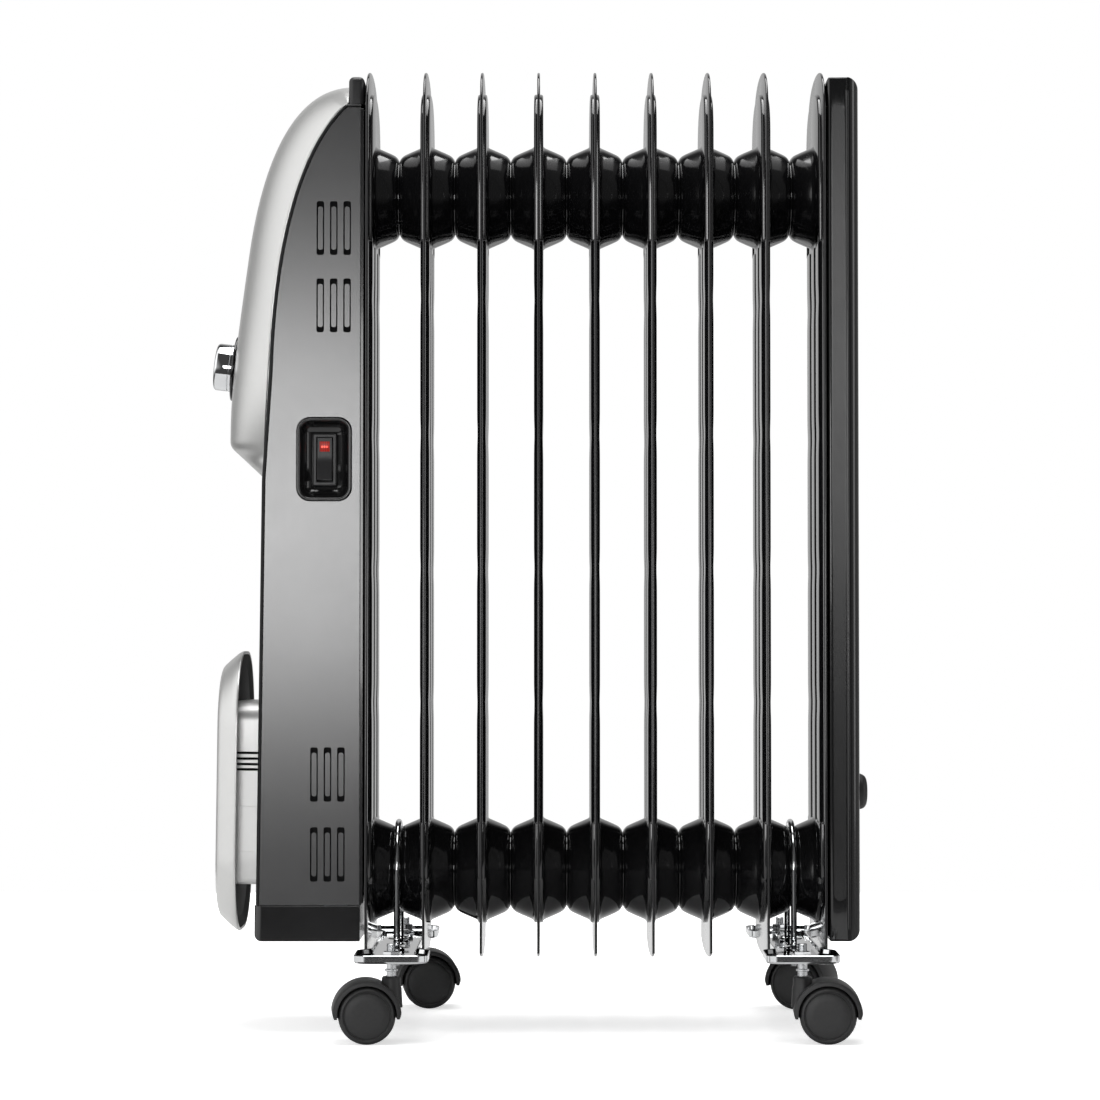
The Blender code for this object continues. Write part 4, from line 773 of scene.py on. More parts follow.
    def bevel(
        self, width: float, segments: int, chosen: Callable[[bmesh.types.BMEdge], bool]
    ) -> "Shape":
        """Rounds edges.

        Args:
            width: the bevel's offset.
            segments: its segments.
            chosen: says for each edge whether it is rounded.

        Returns:
            This shape.
        """
        edges = [edge for edge in self.bm.edges if chosen(edge)]
        bmesh.ops.bevel(
            self.bm, geom=edges, offset=width, offset_type="OFFSET", segments=segments, profile=0.5,
            affect="EDGES", clamp_overlap=True, material=-1,
        )
        bmesh.ops.recalc_face_normals(self.bm, faces=self.bm.faces[:])
        return self

    def placed(self, matrix: Matrix) -> "Shape":
        """Moves the whole shape by a matrix. Returns this shape."""
        bmesh.ops.transform(self.bm, matrix=matrix, verts=self.bm.verts[:])
        return self

    def cut(self, other: "Shape") -> "Shape":
        """Takes another shape away from this one.

        Args:
            other: the cutter, which is used up.

        Returns:
            This shape.
        """
        body, tool = self.temporary(), other.temporary()
        step = body.modifiers.new("cut", "BOOLEAN")
        step.operation = "DIFFERENCE"
        step.solver = "EXACT"
        step.object = tool
        self.bm = bmesh.new()
        self.bm.from_mesh(evaluated_mesh(body))
        bpy.data.objects.remove(body)
        bpy.data.objects.remove(tool)
        return self

    def temporary(self) -> bpy.types.Object:
        """Puts the bmesh in an object of its own.

        Returns:
            The object.
        """
        mesh = bpy.data.meshes.new("temporary")
        self.bm.to_mesh(mesh)
        self.bm.free()
        made = bpy.data.objects.new("temporary", mesh)
        bpy.context.scene.collection.objects.link(made)
        return made


def evaluated_mesh(carrier: bpy.types.Object) -> bpy.types.Mesh:
    """A new mesh that holds the result of an object's modifiers or of its curve.

    Args:
        carrier: the object.

    Returns:
        The mesh.
    """
    bpy.context.view_layer.update()
    graph = bpy.context.evaluated_depsgraph_get()
    return bpy.data.meshes.new_from_object(carrier.evaluated_get(graph))


# ---------------------------------------------------------------- workshop


@dataclass
class Workshop:
    """Turns shapes into pieces: mesh, finish, body, the CAD node it stands for."""

    paint: PaintShop = field(default_factory=PaintShop)
    count: int = 0

    def piece(
        self, name: str, shape: Shape, finish: str, body: str = "radiator", stands_for: Sequence[str] = (),
        soften: float = 0.0, sharp: float = 35.0, trim: str = "", trimmed: Callable | None = None,
    ) -> bpy.types.Object:
        """Makes a piece from a shape that already stands in the heater's frame.

        Args:
            name: the piece's name.
            shape: its shape, which is used up.
            finish: the finish's name in FINISHES.
            body: the CAD body it rides on.
            stands_for: the CAD nodes it replaces.
            soften: width of the small bevel on its sharp edges, or 0 for none.
            sharp: the angle in degrees past which an edge is drawn sharp.
            trim: a second finish's name, or "" for none.
            trimmed: says for each face whether it has the second finish.

        Returns:
            The object.
        """
        mesh = bpy.data.meshes.new(name)
        if trim:
            shape.bm.normal_update()
            for face in shape.bm.faces:
                face.material_index = int(trimmed(face))
        shape.bm.to_mesh(mesh)
        shape.bm.free()
        mesh.materials.append(self.paint.material(finish))
        if trim:
            mesh.materials.append(self.paint.material(trim))
        mesh.shade_smooth()
        mesh.set_sharp_from_angle(angle=math.radians(sharp))
        made = bpy.data.objects.new(name, mesh)
        bpy.context.scene.collection.objects.link(made)
        if soften:
            step = made.modifiers.new("soften", "BEVEL")
            step.width = soften
            step.segments = 2
            step.limit_method = "ANGLE"
            step.angle_limit = math.radians(sharp)
            step.harden_normals = True
        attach(made, body)
        if stands_for:
            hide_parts(*stands_for)
        self.count += 1
        LOG.info("piece %s: %s, on %s, %d faces", name, finish, body, len(mesh.polygons))
        return made

    def dress(self, node: str, finish: str) -> None:
        """Gives a carried-over CAD node its finish.

        Args:
            node: the CAD node.
            finish: the finish's name in FINISHES.
        """
        mesh = frame["nodes"][node].data
        mesh.materials.clear()
        mesh.materials.append(self.paint.material(finish))
        LOG.info("node %s: %s", node, finish)


def joint(name: str) -> dict:
    """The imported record's joint of this name."""
    return next(item for item in frame["joints"] if item["name"] == name)


# ---------------------------------------------------------------- fins


@dataclass
class FinPack:
    """Nine pressed fins with their oil channels and barrel headers."""

    shop: Workshop
    count: int = 9
    sheet: float = 1.7 * MM
    channel: float = 6.0 * MM
    rim: float = 13.5 * MM
    top_arch: float = 30.0 * MM
    bottom_arch: float = 8.0 * MM
    header_top: float = 548.5 * MM
    header_bottom: float = 102.4 * MM
    reach: float = 18.4 * MM
    seam_radius: float = 24.2 * MM
    swell: float = 0.3 * MM
    swell_pitch: float = 88.0 * MM
    bar_width: float = 30.0 * MM

    def __post_init__(self) -> None:
        """Reads the fins' places from the frame."""
        low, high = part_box("fin_2")
        nearest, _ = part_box("fin_3")
        self.width = high.y - low.y
        self.low_z = low.z - 2.0 * MM
        self.high_z = high.z
        self.pitch = nearest.x - low.x
        self.second_x = (low.x + high.x) / 2

    def fin_x(self, number: int) -> float:
        """The middle of a fin along X, by its number from 1."""
        return self.second_x + (number - 2) * self.pitch

    def outline(self, rim: float, low_z: float | None = None) -> list[Pair]:
        """The fin's Y-Z outline.

        Args:
            rim: how far it is drawn inside the edge.
            low_z: a flat foot's height, or None for the fin's own arched foot.

        Returns:
            The closed outline.
        """
        half = self.width / 2 - rim
        top = self.high_z - rim
        upper = curve(
            (half, top - self.top_arch), (half * 0.94, top - self.top_arch * 0.2), (half * 0.5, top),
            (0.0, top), 20,
        )
        mirrored = [(-y, z) for y, z in reversed(upper)]
        if low_z is not None:
            return distinct(upper + mirrored + [(-half, low_z), (half, low_z)])
        foot = self.low_z
        lower = curve(
            (-half, foot + self.bottom_arch), (-half * 0.6, foot), (half * 0.6, foot),
            (half, foot + self.bottom_arch), 16,
        )
        return distinct(upper + mirrored + lower)

    def add_sheet(self, shape: Shape) -> None:
        """Adds the flat sheet with its rounded rim.

        Args:
            shape: the fin's shape.
        """
        plate = Shape().prism(self.outline(0.0), Plane.YZ, -self.sheet / 2, self.sheet)
        plate.bevel(
            self.sheet * 0.42, 3,
            lambda edge: abs(edge.verts[0].co.x - edge.verts[1].co.x) < 1e-7,
        )
        shape.absorb(plate.bm)

    def add_channels(self, shape: Shape) -> None:
        """Adds the raised oil channel: a manifold at the top and bottom and three upright bars.

        Args:
            shape: the fin's shape.
        """
        half = self.width / 2 - self.rim
        manifold_top = self.outline(self.rim)
        upper = [(y, z) for y, z in manifold_top if z > self.header_top - 1.0 * MM]
        foot = self.header_top - 35.0 * MM
        crown = Shape().prism(
            distinct([(half, foot), *upper, (-half, foot)]), Plane.YZ, -self.channel / 2, self.channel
        )
        low = self.header_bottom - 4.0 * MM
        rise = self.header_bottom + 34.0 * MM
        corners = [(-half, low), (half, low), (half, rise), (-half, rise)]
        sump = Shape().prism(corners, Plane.YZ, -self.channel / 2, self.channel)
        for plateau in (crown, sump):
            plateau.bevel(2.0 * MM, 4, lambda edge: True)
            shape.absorb(plateau.bm)
        for middle in (-half + self.bar_width / 2, 0.0, half - self.bar_width / 2):
            self.add_bar(shape, middle, rise - 12.0 * MM, foot + 12.0 * MM)

    def add_bar(self, shape: Shape, middle: float, low: float, high: float) -> None:
        """Adds one upright channel that swells and narrows a little along its height.

        Args:
            shape: the fin's shape.
            middle: its place along Y.
            low: its foot.
            high: its top.
        """
        thick = self.channel / 2
        soft = 2.3 * MM
        half = self.bar_width / 2
        section = [
            (-half, 0.0), (-half + 0.5 * soft, thick * 0.55), (-half + 1.3 * soft, thick * 0.9),
            (-half + 2.4 * soft, thick), (half - 2.4 * soft, thick), (half - 1.3 * soft, thick * 0.9),
            (half - 0.5 * soft, thick * 0.55), (half, 0.0), (half - 0.5 * soft, -thick * 0.55),
            (half - 1.3 * soft, -thick * 0.9), (half - 2.4 * soft, -thick), (-half + 2.4 * soft, -thick),
            (-half + 1.3 * soft, -thick * 0.9), (-half + 0.5 * soft, -thick * 0.55),
        ]
        rows = 72
        loops = []
        for row in range(rows + 1):
            z = low + (high - low) * row / rows
            phase = (z - low) / self.swell_pitch
            dent = max(0.0, math.cos(2 * math.pi * phase)) ** 6
            factor = 1.0 - dent * self.swell * 2 / self.channel
            loops.append([Vector((x * factor, middle + y, z)) for y, x in section])
        shape.loft(loops)

    def lobe_profile(self, left: float, right: float) -> list[Pair]:
        """The (radius, height) profile of a header lobe, from its left end to its right end.

        Args:
            left: where the lobe starts, from the fin's middle.
            right: where it ends.

        Returns:
            The profile's points.
        """
        side = [
            (35.6, 2.7), (34.2, 3.3), (33.3, 4.4), (32.6, 6.0), (31.4, 8.8), (30.2, 11.6), (29.0, 14.2),
            (28.1, 15.8), (27.0, 17.0), (25.9, 17.8), (25.1, 18.2), (24.5, 18.4),
        ]
        scaled = [(radius * MM, height * MM) for radius, height in side]
        points: list[Pair] = [(0.0, right)] if right else [(0.0, 2.0 * MM)]
        points += list(reversed(scaled)) if right else [(36.0 * MM, 2.0 * MM)]
        points += [(radius, -height) for radius, height in scaled] if left else [(36.0 * MM, -2.0 * MM)]
        points.append((0.0, -left if left else -2.0 * MM))
        return points

    def add_lobes(self, shape: Shape, number: int) -> None:
        """Adds the two header lobes and the weld seam that closes the joint to the next fin.

        Args:
            shape: the fin's shape.
            number: which fin it is, from 1.
        """
        left = self.reach if number > 1 else 0.0
        right = self.reach if number < self.count else 0.0
        for level in (self.header_top, self.header_bottom):
            axis = axis_matrix((0.0, 0.0, level), (1.0, 0.0, 0.0))
            shape.turned(self.lobe_profile(left, right), axis, 72)
            if right:
                start = right - 1.0 * MM
                shape.rod((start, 0.0, level), (start + 2.2 * MM, 0.0, level), self.seam_radius, 64)
        if not left:
            boss = self.header_bottom
            shape.turned(
                [(0.0, 0.0), (19.0 * MM, 0.0), (19.0 * MM, 7.0 * MM), (18.0 * MM, 8.0 * MM), (0.0, 8.0 * MM)],
                axis_matrix((0.0, 0.0, boss), (-1.0, 0.0, 0.0)),
            )

    def build(self) -> None:
        """Builds and dresses every fin."""
        for number in range(1, self.count + 1):
            shape = Shape()
            self.add_sheet(shape)
            self.add_channels(shape)
            self.add_lobes(shape, number)
            shape.placed(Matrix.Translation((self.fin_x(number), 0.0, 0.0)))
            self.shop.piece(
                f"fin_{number}_pressed", shape, "enamel", stands_for=[f"fin_{number}"], sharp=40.0
            )


# ---------------------------------------------------------------- control housing


@dataclass
class ControlHousing:
    """The satin shell round the controls, its base tray, cap, vents and cord gland."""

    shop: Workshop
    wall: float = 2.5 * MM
    edge_radius: float = 5.0 * MM
    neck: float = 10.0 * MM
    depth_at_panel: float = 64.0 * MM
    depth_at_base: float = 67.5 * MM
    bend_z: float = 428.0 * MM
    foot_z: float = 358.0 * MM
    slot_width: float = 4.9 * MM
    slot_height: float = 35.0 * MM
    slot_pitch: float = 8.7 * MM
    vents: tuple[Pair, ...] = (
        (17.6 * MM, 521.0 * MM), (17.6 * MM, 470.7 * MM), (21.0 * MM, 167.0 * MM), (21.0 * MM, 115.5 * MM),
    )

    def __post_init__(self) -> None:
        """Reads the housing's place from the frame."""
        low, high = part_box("control_housing")
        self.back_x = high.x
        self.half = high.y
        self.top_z = high.z
        self.split_z = low.z
        self.base_low, self.base_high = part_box("housing_base")

    def front(self, steps: int = 28) -> list[Pair]:
        """The front line from the housing's top down to its base.

        Args:
            steps: stretches in the crown.

        Returns:
            (x, z) points.
        """
        top = (self.back_x - self.neck, self.top_z)
        bend = (self.back_x - self.depth_at_panel + 4.5 * MM, self.bend_z)
        foot = (self.back_x - self.depth_at_panel, self.foot_z)
        crown = curve(
            top, (top[0] - 27 * MM, top[1] - 24 * MM), (bend[0] + 2.5 * MM, bend[1] + 92 * MM), bend, steps
        )
        return crown + [foot, (self.back_x - self.depth_at_base, self.base_low.z)]

    def front_x(self, level: float) -> float:
        """Where the front stands at a height below the panel."""
        foot, base = self.front()[-2:]
        return base[0] + (level - base[1]) / (foot[1] - base[1]) * (foot[0] - base[0])

    def slots(self, grow: float, start: float, depth: float, ends: float = 0.0) -> Shape:
        """Every vent slot as one shape, on both sides.

        Args:
            grow: how much wider and taller than the slot it is.
            start: its distance inside the housing's side.
            depth: its depth from there, inwards.
            ends: how much shorter it is at each end.

        Returns:
            The shape.
        """
        made = Shape()
        for depth_x, level in self.vents:
            for index in (-1, 0, 1):
                x = self.back_x - depth_x + index * self.slot_pitch
                height = self.slot_height + grow - 2 * ends
                outline = rounded_rectangle(self.slot_width + grow, height, 1.3 * MM, 4, (x, level))
                made.prism(outline, Plane.XZ, -self.half + start, depth)
                made.prism(outline, Plane.XZ, self.half - start, -depth)
        return made

    def build_shell(self) -> None:
        """Builds the satin shell with its vents and the switch's opening."""
        line = self.front()
        above = line[:-1] + [(self.front_x(self.split_z), self.split_z)]
        outline = [(self.back_x, self.top_z), *above, (self.back_x, self.split_z)]
        shell = Shape().prism(outline, Plane.XZ, -self.half, 2 * self.half)
        rim = self.half - 1e-6
        back = self.back_x - 1e-6

        def on_side(edge: bmesh.types.BMEdge) -> bool:
            """Says whether an edge lies on the rim of a side face, away from the base.

            Args:
                edge: the edge.

            Returns:
                True where it does.
            """
            sides = all(abs(vert.co.y) > rim for vert in edge.verts)
            foot = all(vert.co.z < self.split_z + 1e-6 for vert in edge.verts)
            behind = all(vert.co.x > back for vert in edge.verts)
            return sides and not foot and not behind

        shell.bevel(self.edge_radius, 6, on_side)
        shell.bevel(
            2.2 * MM, 4,
            lambda edge: all(vert.co.x > back and abs(vert.co.y) > rim for vert in edge.verts),
        )
        sides = [
            face for face in shell.bm.faces
            if abs(face.normal.y) > 0.99 and abs(face.calc_center_median().y) > rim
        ]
        bmesh.ops.inset_region(shell.bm, faces=sides, thickness=0.6 * MM, depth=-0.35 * MM)
        inner = shifted(above, self.wall)
        ceiling = self.top_z - self.wall
        room = [(x, min(z, ceiling)) for x, z in inner if z <= ceiling]
        hollow = [(self.back_x - 1.5 * MM, ceiling), *room]
        hollow += [(room[-1][0], self.split_z - 5 * MM), (self.back_x - 1.5 * MM, self.split_z - 5 * MM)]
        inside = self.half - self.wall
        shell.cut(Shape().prism(distinct(hollow), Plane.XZ, -inside, 2 * inside))
        shell.cut(self.slots(0.0, -3 * MM, 3 * MM + 2 * self.wall))
        low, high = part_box("switch_bezel")
        middle = ((low.x + high.x) / 2, (low.z + high.z) / 2)
        opening = rounded_rectangle(high.x - low.x + 0.6 * MM, high.z - low.z + 0.6 * MM, 9.0 * MM, 8, middle)
        shell.cut(Shape().prism(opening, Plane.XZ, -self.half - 3 * MM, 3 * MM + 2 * self.wall))
        # Every face that doesn't face ±Y (the rounded edges and the front and back walls) takes the darker
        # rim finish: painted shade for the dark reflections on those edges.
        self.shop.piece(
            "housing_shell", shell, "housing", stands_for=["control_housing"], soften=0.25 * MM, sharp=20.0,
            trim="rim", trimmed=lambda face: abs(face.normal.y) < 0.995,
        )

    def build_liners(self) -> None:
        """Builds the strips behind the vent slots, and dark screens behind the strips that paint the shade of
        the housing's inside.
        """
        strips = self.slots(-1.7 * MM, 0.9 * MM, 0.5 * MM, 2.6 * MM)
        self.shop.piece("vent_liners", strips, "housing")
        # Painted shade: the matt screens stand in for the dark, shaded inside that shows past the strips'
        # ends.
        self.shop.piece("vent_painted_shade_screens", self.slots(3.0 * MM, 3.2 * MM, 0.5 * MM), "matt")

    def build_lips(self) -> None:
        """Builds the dark lips that close the gap to the first fin at both sides."""
        lips = Shape()
        for side in (-1, 1):
            y = sorted((side * (self.half - 2.6 * MM), side * (self.half - 0.5 * MM)))
            lips.block(
                (self.back_x - 1 * MM, y[0], self.split_z + 1 * MM),
                (self.back_x + 2.0 * MM, y[1], self.top_z - 3 * MM),
            )
        self.shop.piece("housing_lips", lips, "gloss", soften=0.5 * MM)

    def build_base(self) -> None:
        """Builds the black foot tray."""
        low, high = self.base_low, self.base_high
        outline = [
            (high.x, high.z), (self.front_x(high.z) - 0.9 * MM, high.z), (low.x, low.z), (high.x, low.z)
        ]
        tray = Shape().prism(outline, Plane.XZ, -self.half, 2 * self.half)
        top = high.z - 1e-6
        back = high.x - 1e-6
        tray.bevel(
            self.edge_radius, 6,
            lambda edge: all(vert.co.x < back for vert in edge.verts)
            and not all(vert.co.z > top for vert in edge.verts),
        )
        self.shop.piece("base_tray", tray, "gloss", stands_for=["housing_base"], soften=0.5 * MM)

    def build_cap(self) -> None:
        """Builds the rounded cap along the top edge."""
        low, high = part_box("top_grip")
        high.x += 2.0 * MM
        cap = Shape().block(low, high)
        cap.bevel(3.4 * MM, 6, lambda edge: any(vert.co.z > high.z - 1e-6 for vert in edge.verts))
        self.shop.piece("top_cap", cap, "satin", stands_for=["top_grip"], sharp=60.0)

    def build_gland(self) -> None:
        """Builds the ribbed gland for the mains lead."""
        low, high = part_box("cord_gland")
        start = (low.x + high.x) / 2, self.half, (low.z + high.z) / 2
        length = high.y - self.half
        profile = [
            (3.6 * MM, -4 * MM), (5 * MM, -4 * MM), (5 * MM, 0.4 * MM), (7 * MM, 0.4 * MM), (7 * MM, 2.6 * MM)
        ]
        for rib in range(3):
            foot = 2.8 * MM + rib * 2.0 * MM
            radius = (5.9 - 0.4 * rib) * MM
            profile += [(radius - 0.7 * MM, foot), (radius, foot + 0.4 * MM), (radius, foot + 1.5 * MM)]
        profile += [(4.6 * MM, length), (3.6 * MM, length)]
        gland = Shape().turned(profile, axis_matrix(start, (0, 1, 0)), 40, ring=True)
        self.shop.piece("gland_collar", gland, "rubber", stands_for=["cord_gland"])

    def build(self) -> None:
        """Builds and dresses the housing's pieces and its inner nodes."""
        self.build_shell()
        self.build_liners()
        self.build_lips()
        self.build_base()
        self.build_cap()
        self.build_gland()
        for node, finish in (
            ("heat_shield", "galvanised"), ("terminal_block", "ceramic"), ("thermal_cutout", "zinc"),
            ("heating_element", "element"), ("element_flange", "zinc"), ("oil_plug", "zinc"),
            ("thermostat_body", "ceramic"), ("thermostat_shaft", "zinc"),
        ):
            self.shop.dress(node, finish)


@dataclass
class FrontPanel:
    """The crowned silver panel on the upper front."""

    shop: Workshop
    housing: ControlHousing
    gap: float = 0.3 * MM
    crest_depth: float = 76.0 * MM
    crest_z: float = 509.0 * MM
    chin_depth: float = 88.5 * MM
    chin_z: float = 386.0 * MM
    flat: float = 20.0 * MM
    fullness: float = 1.8
    edge: float = 1.0 * MM
    taper: float = 9.0 * MM
    taper_from: float = 436.0 * MM

    def __post_init__(self) -> None:
        """Reads half the panel's width from the frame."""
        self.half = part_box("front_panel")[1].y

    def front(self) -> list[Pair]:
        """The panel's front line from its top to its foot, as (x, z) points.

        Returns:
            The line's points.
        """
        back_x = self.housing.back_x
        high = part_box("front_panel")[1]
        top = (high.x, high.z)
        crest = (back_x - self.crest_depth, self.crest_z)
        chin = (back_x - self.chin_depth, self.chin_z)
        crown = curve(
            top, (top[0] - 40 * MM, top[1] - 1 * MM), (crest[0] + 8 * MM, crest[1] + 57 * MM), crest, 40
        )
        face = curve(
            crest, (crest[0] - 5.5 * MM, crest[1] - 40 * MM), (chin[0] + 0.5 * MM, chin[1] + 40 * MM), chin,
            20,
        )
        foot = (self.housing.front()[-2][0] - self.gap, self.housing.foot_z + 1.0 * MM)
        corner = curve(
            chin, (chin[0] - 0.2 * MM, chin[1] - 4.5 * MM), (chin[0] + 1.5 * MM, chin[1] - 6.0 * MM),
            (chin[0] + 5.5 * MM, chin[1] - 9.5 * MM), 8,
        )
        return filled(crown + face[1:] + corner[1:] + [foot], 3 * MM)

    def pull(self, point: Pair, back: Sequence[Pair]) -> Vector:
        """How far a point of the front line draws back at the panel's sides.

        Args:
            point: the front line's point.
            back: the panel's back line.

        Returns:
            The way to the back line, less the thickness of the panel's edge.
        """
        here = Vector(point)
        ways = []
        for start, end in zip(back, back[1:]):
            run = Vector(end) - Vector(start)
            share = (here - Vector(start)).dot(run) / run.length_squared
            ways.append(Vector(start) + run * min(max(share, 0.0), 1.0) - here)
        way = min(ways, key=lambda vector: vector.length)
        return way.normalized() * max(way.length - self.edge, 0.0)

    def width_at(self, level: float) -> float:
        """The share of its full width that the panel has at a height, less towards the chin."""
        drop = max(self.taper_from - level, 0.0) / (self.taper_from - self.chin_z)
        return 1.0 - self.taper / self.half * min(drop, 1.25) ** 2

    def build(self) -> None:
        """Builds and dresses the panel."""
        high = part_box("front_panel")[1]
        line = self.front()
        back = shifted(self.housing.front(36)[:-1], -self.gap)
        back[-1] = (back[-1][0], line[-1][1])
        back[0] = (high.x, self.housing.top_z + self.gap)
        back = filled(back, 3 * MM)
        pulls = [self.pull(point, back) for point in line]
        reach = self.half - self.flat
        sides = [self.flat * step / 4 for step in range(4)]
        sides += [self.flat + reach * math.sin(math.pi / 2 * step / 14) for step in range(15)]
        loops = []
        for y in [-side for side in reversed(sides)] + sides[1:]:
            share = (max(abs(y) - self.flat, 0.0) / reach) ** self.fullness
            loop = [
                Vector((x + pull.x * share, y * self.width_at(z), z + pull.y * share))
                for (x, z), pull in zip(line, pulls)
            ]
            loop += [Vector((x, y * self.width_at(z), z)) for x, z in reversed(back[1:-1])]
            loops.append(loop)
        panel = Shape().loft(loops)
        self.shop.piece("silver_front", panel, "silver", stands_for=["front_panel"], sharp=50.0)


# ---------------------------------------------------------------- controls


@dataclass
class ThermostatDial:
    """The dial ring with its marks and the chromed knob."""

    shop: Workshop
    radius: float = 15.7 * MM
    length: float = 11.7 * MM
    ring_radius: float = 21.5 * MM
    ring_low: float = 0.8 * MM
    ring_high: float = 2.4 * MM
    marks: int = 11
    sweep: float = math.radians(290.0)

    def __post_init__(self) -> None:
        """Reads the turning axis from the frame's joint."""
        turn = joint("thermostat_turn")
        axis = Vector(turn["axis"]).normalized()
        self.axis = axis if axis.x < 0 else -axis
        self.seat = Vector(turn["pos_m"])
        self.stand = axis_matrix(self.seat, self.axis)

    def build_ring(self) -> None:
        """Builds the dark dial ring and the light marks on it."""
        low, high, radius = self.ring_low, self.ring_high, self.ring_radius
        soft = 0.6 * MM
        profile = [
            (0.0, low), (radius - soft, low), (radius, low + soft / 2), (radius, high - soft),
            (radius - soft * 0.3, high - soft * 0.3), (radius - soft, high), (radius * 0.84, high),
            (radius * 0.82, high - 0.3 * MM), (0.0, high - 0.3 * MM),
        ]
        self.shop.piece(
            "dial_disc", Shape().turned(profile, self.stand, 96), "gloss", stands_for=["dial_ring"]
        )
        marks = Shape()
        for index in range(self.marks):
            angle = -self.sweep / 2 + self.sweep * index / (self.marks - 1)
            long = 1.9 * MM if index % 5 == 0 else 1.1 * MM
            outer = radius - 0.9 * MM
            one = Shape().block(
                (-0.25 * MM, outer - long, high - 0.1 * MM), (0.25 * MM, outer, high + 0.08 * MM)
            )
            one.placed(self.stand @ Matrix.Rotation(angle, 4, "Z"))
            marks.absorb(one.bm)
        self.shop.piece("dial_marks", marks, "marking")

    def build_knob(self) -> None:
        """Builds the knob with its collar, rounded rim, sunk face and pointer."""
        low = self.ring_high + 0.4 * MM
        high = low + self.length
        radius = self.radius
        profile = [
            (0.0, low), (radius - 0.6 * MM, low), (radius, low + 0.4 * MM), (radius, low + 1.7 * MM),
            (radius - 0.5 * MM, low + 2.0 * MM), (radius - 0.5 * MM, low + 2.3 * MM),
            (radius - 0.15 * MM, low + 2.7 * MM), (radius - 0.15 * MM, high - 1.9 * MM),
            (radius - 0.4 * MM, high - 1.0 * MM), (radius - 1.0 * MM, high - 0.35 * MM),
            (radius - 1.8 * MM, high), (radius - 2.6 * MM, high - 0.1 * MM),
            (radius - 3.4 * MM, high - 0.7 * MM), (radius - 6.0 * MM, high - 1.1 * MM),
            (0.0, high - 1.2 * MM),
        ]
        knob = Shape().turned(profile, self.stand, 128)
        self.shop.piece(
            "chrome_knob", knob, "chrome", body="thermostat", stands_for=["thermostat_knob"], sharp=30.0
        )
        pointer = Shape().block(
            (-0.5 * MM, 4.5 * MM, high - 1.3 * MM), (0.5 * MM, radius - 2.6 * MM, high - 0.35 * MM)
        )
        pointer.bevel(0.2 * MM, 2, lambda edge: True)
        pointer.placed(self.stand)
        self.shop.piece("knob_pointer", pointer, "gloss", body="thermostat")

    def build(self) -> None:
        """Builds and dresses the dial."""
        self.build_ring()
        self.build_knob()


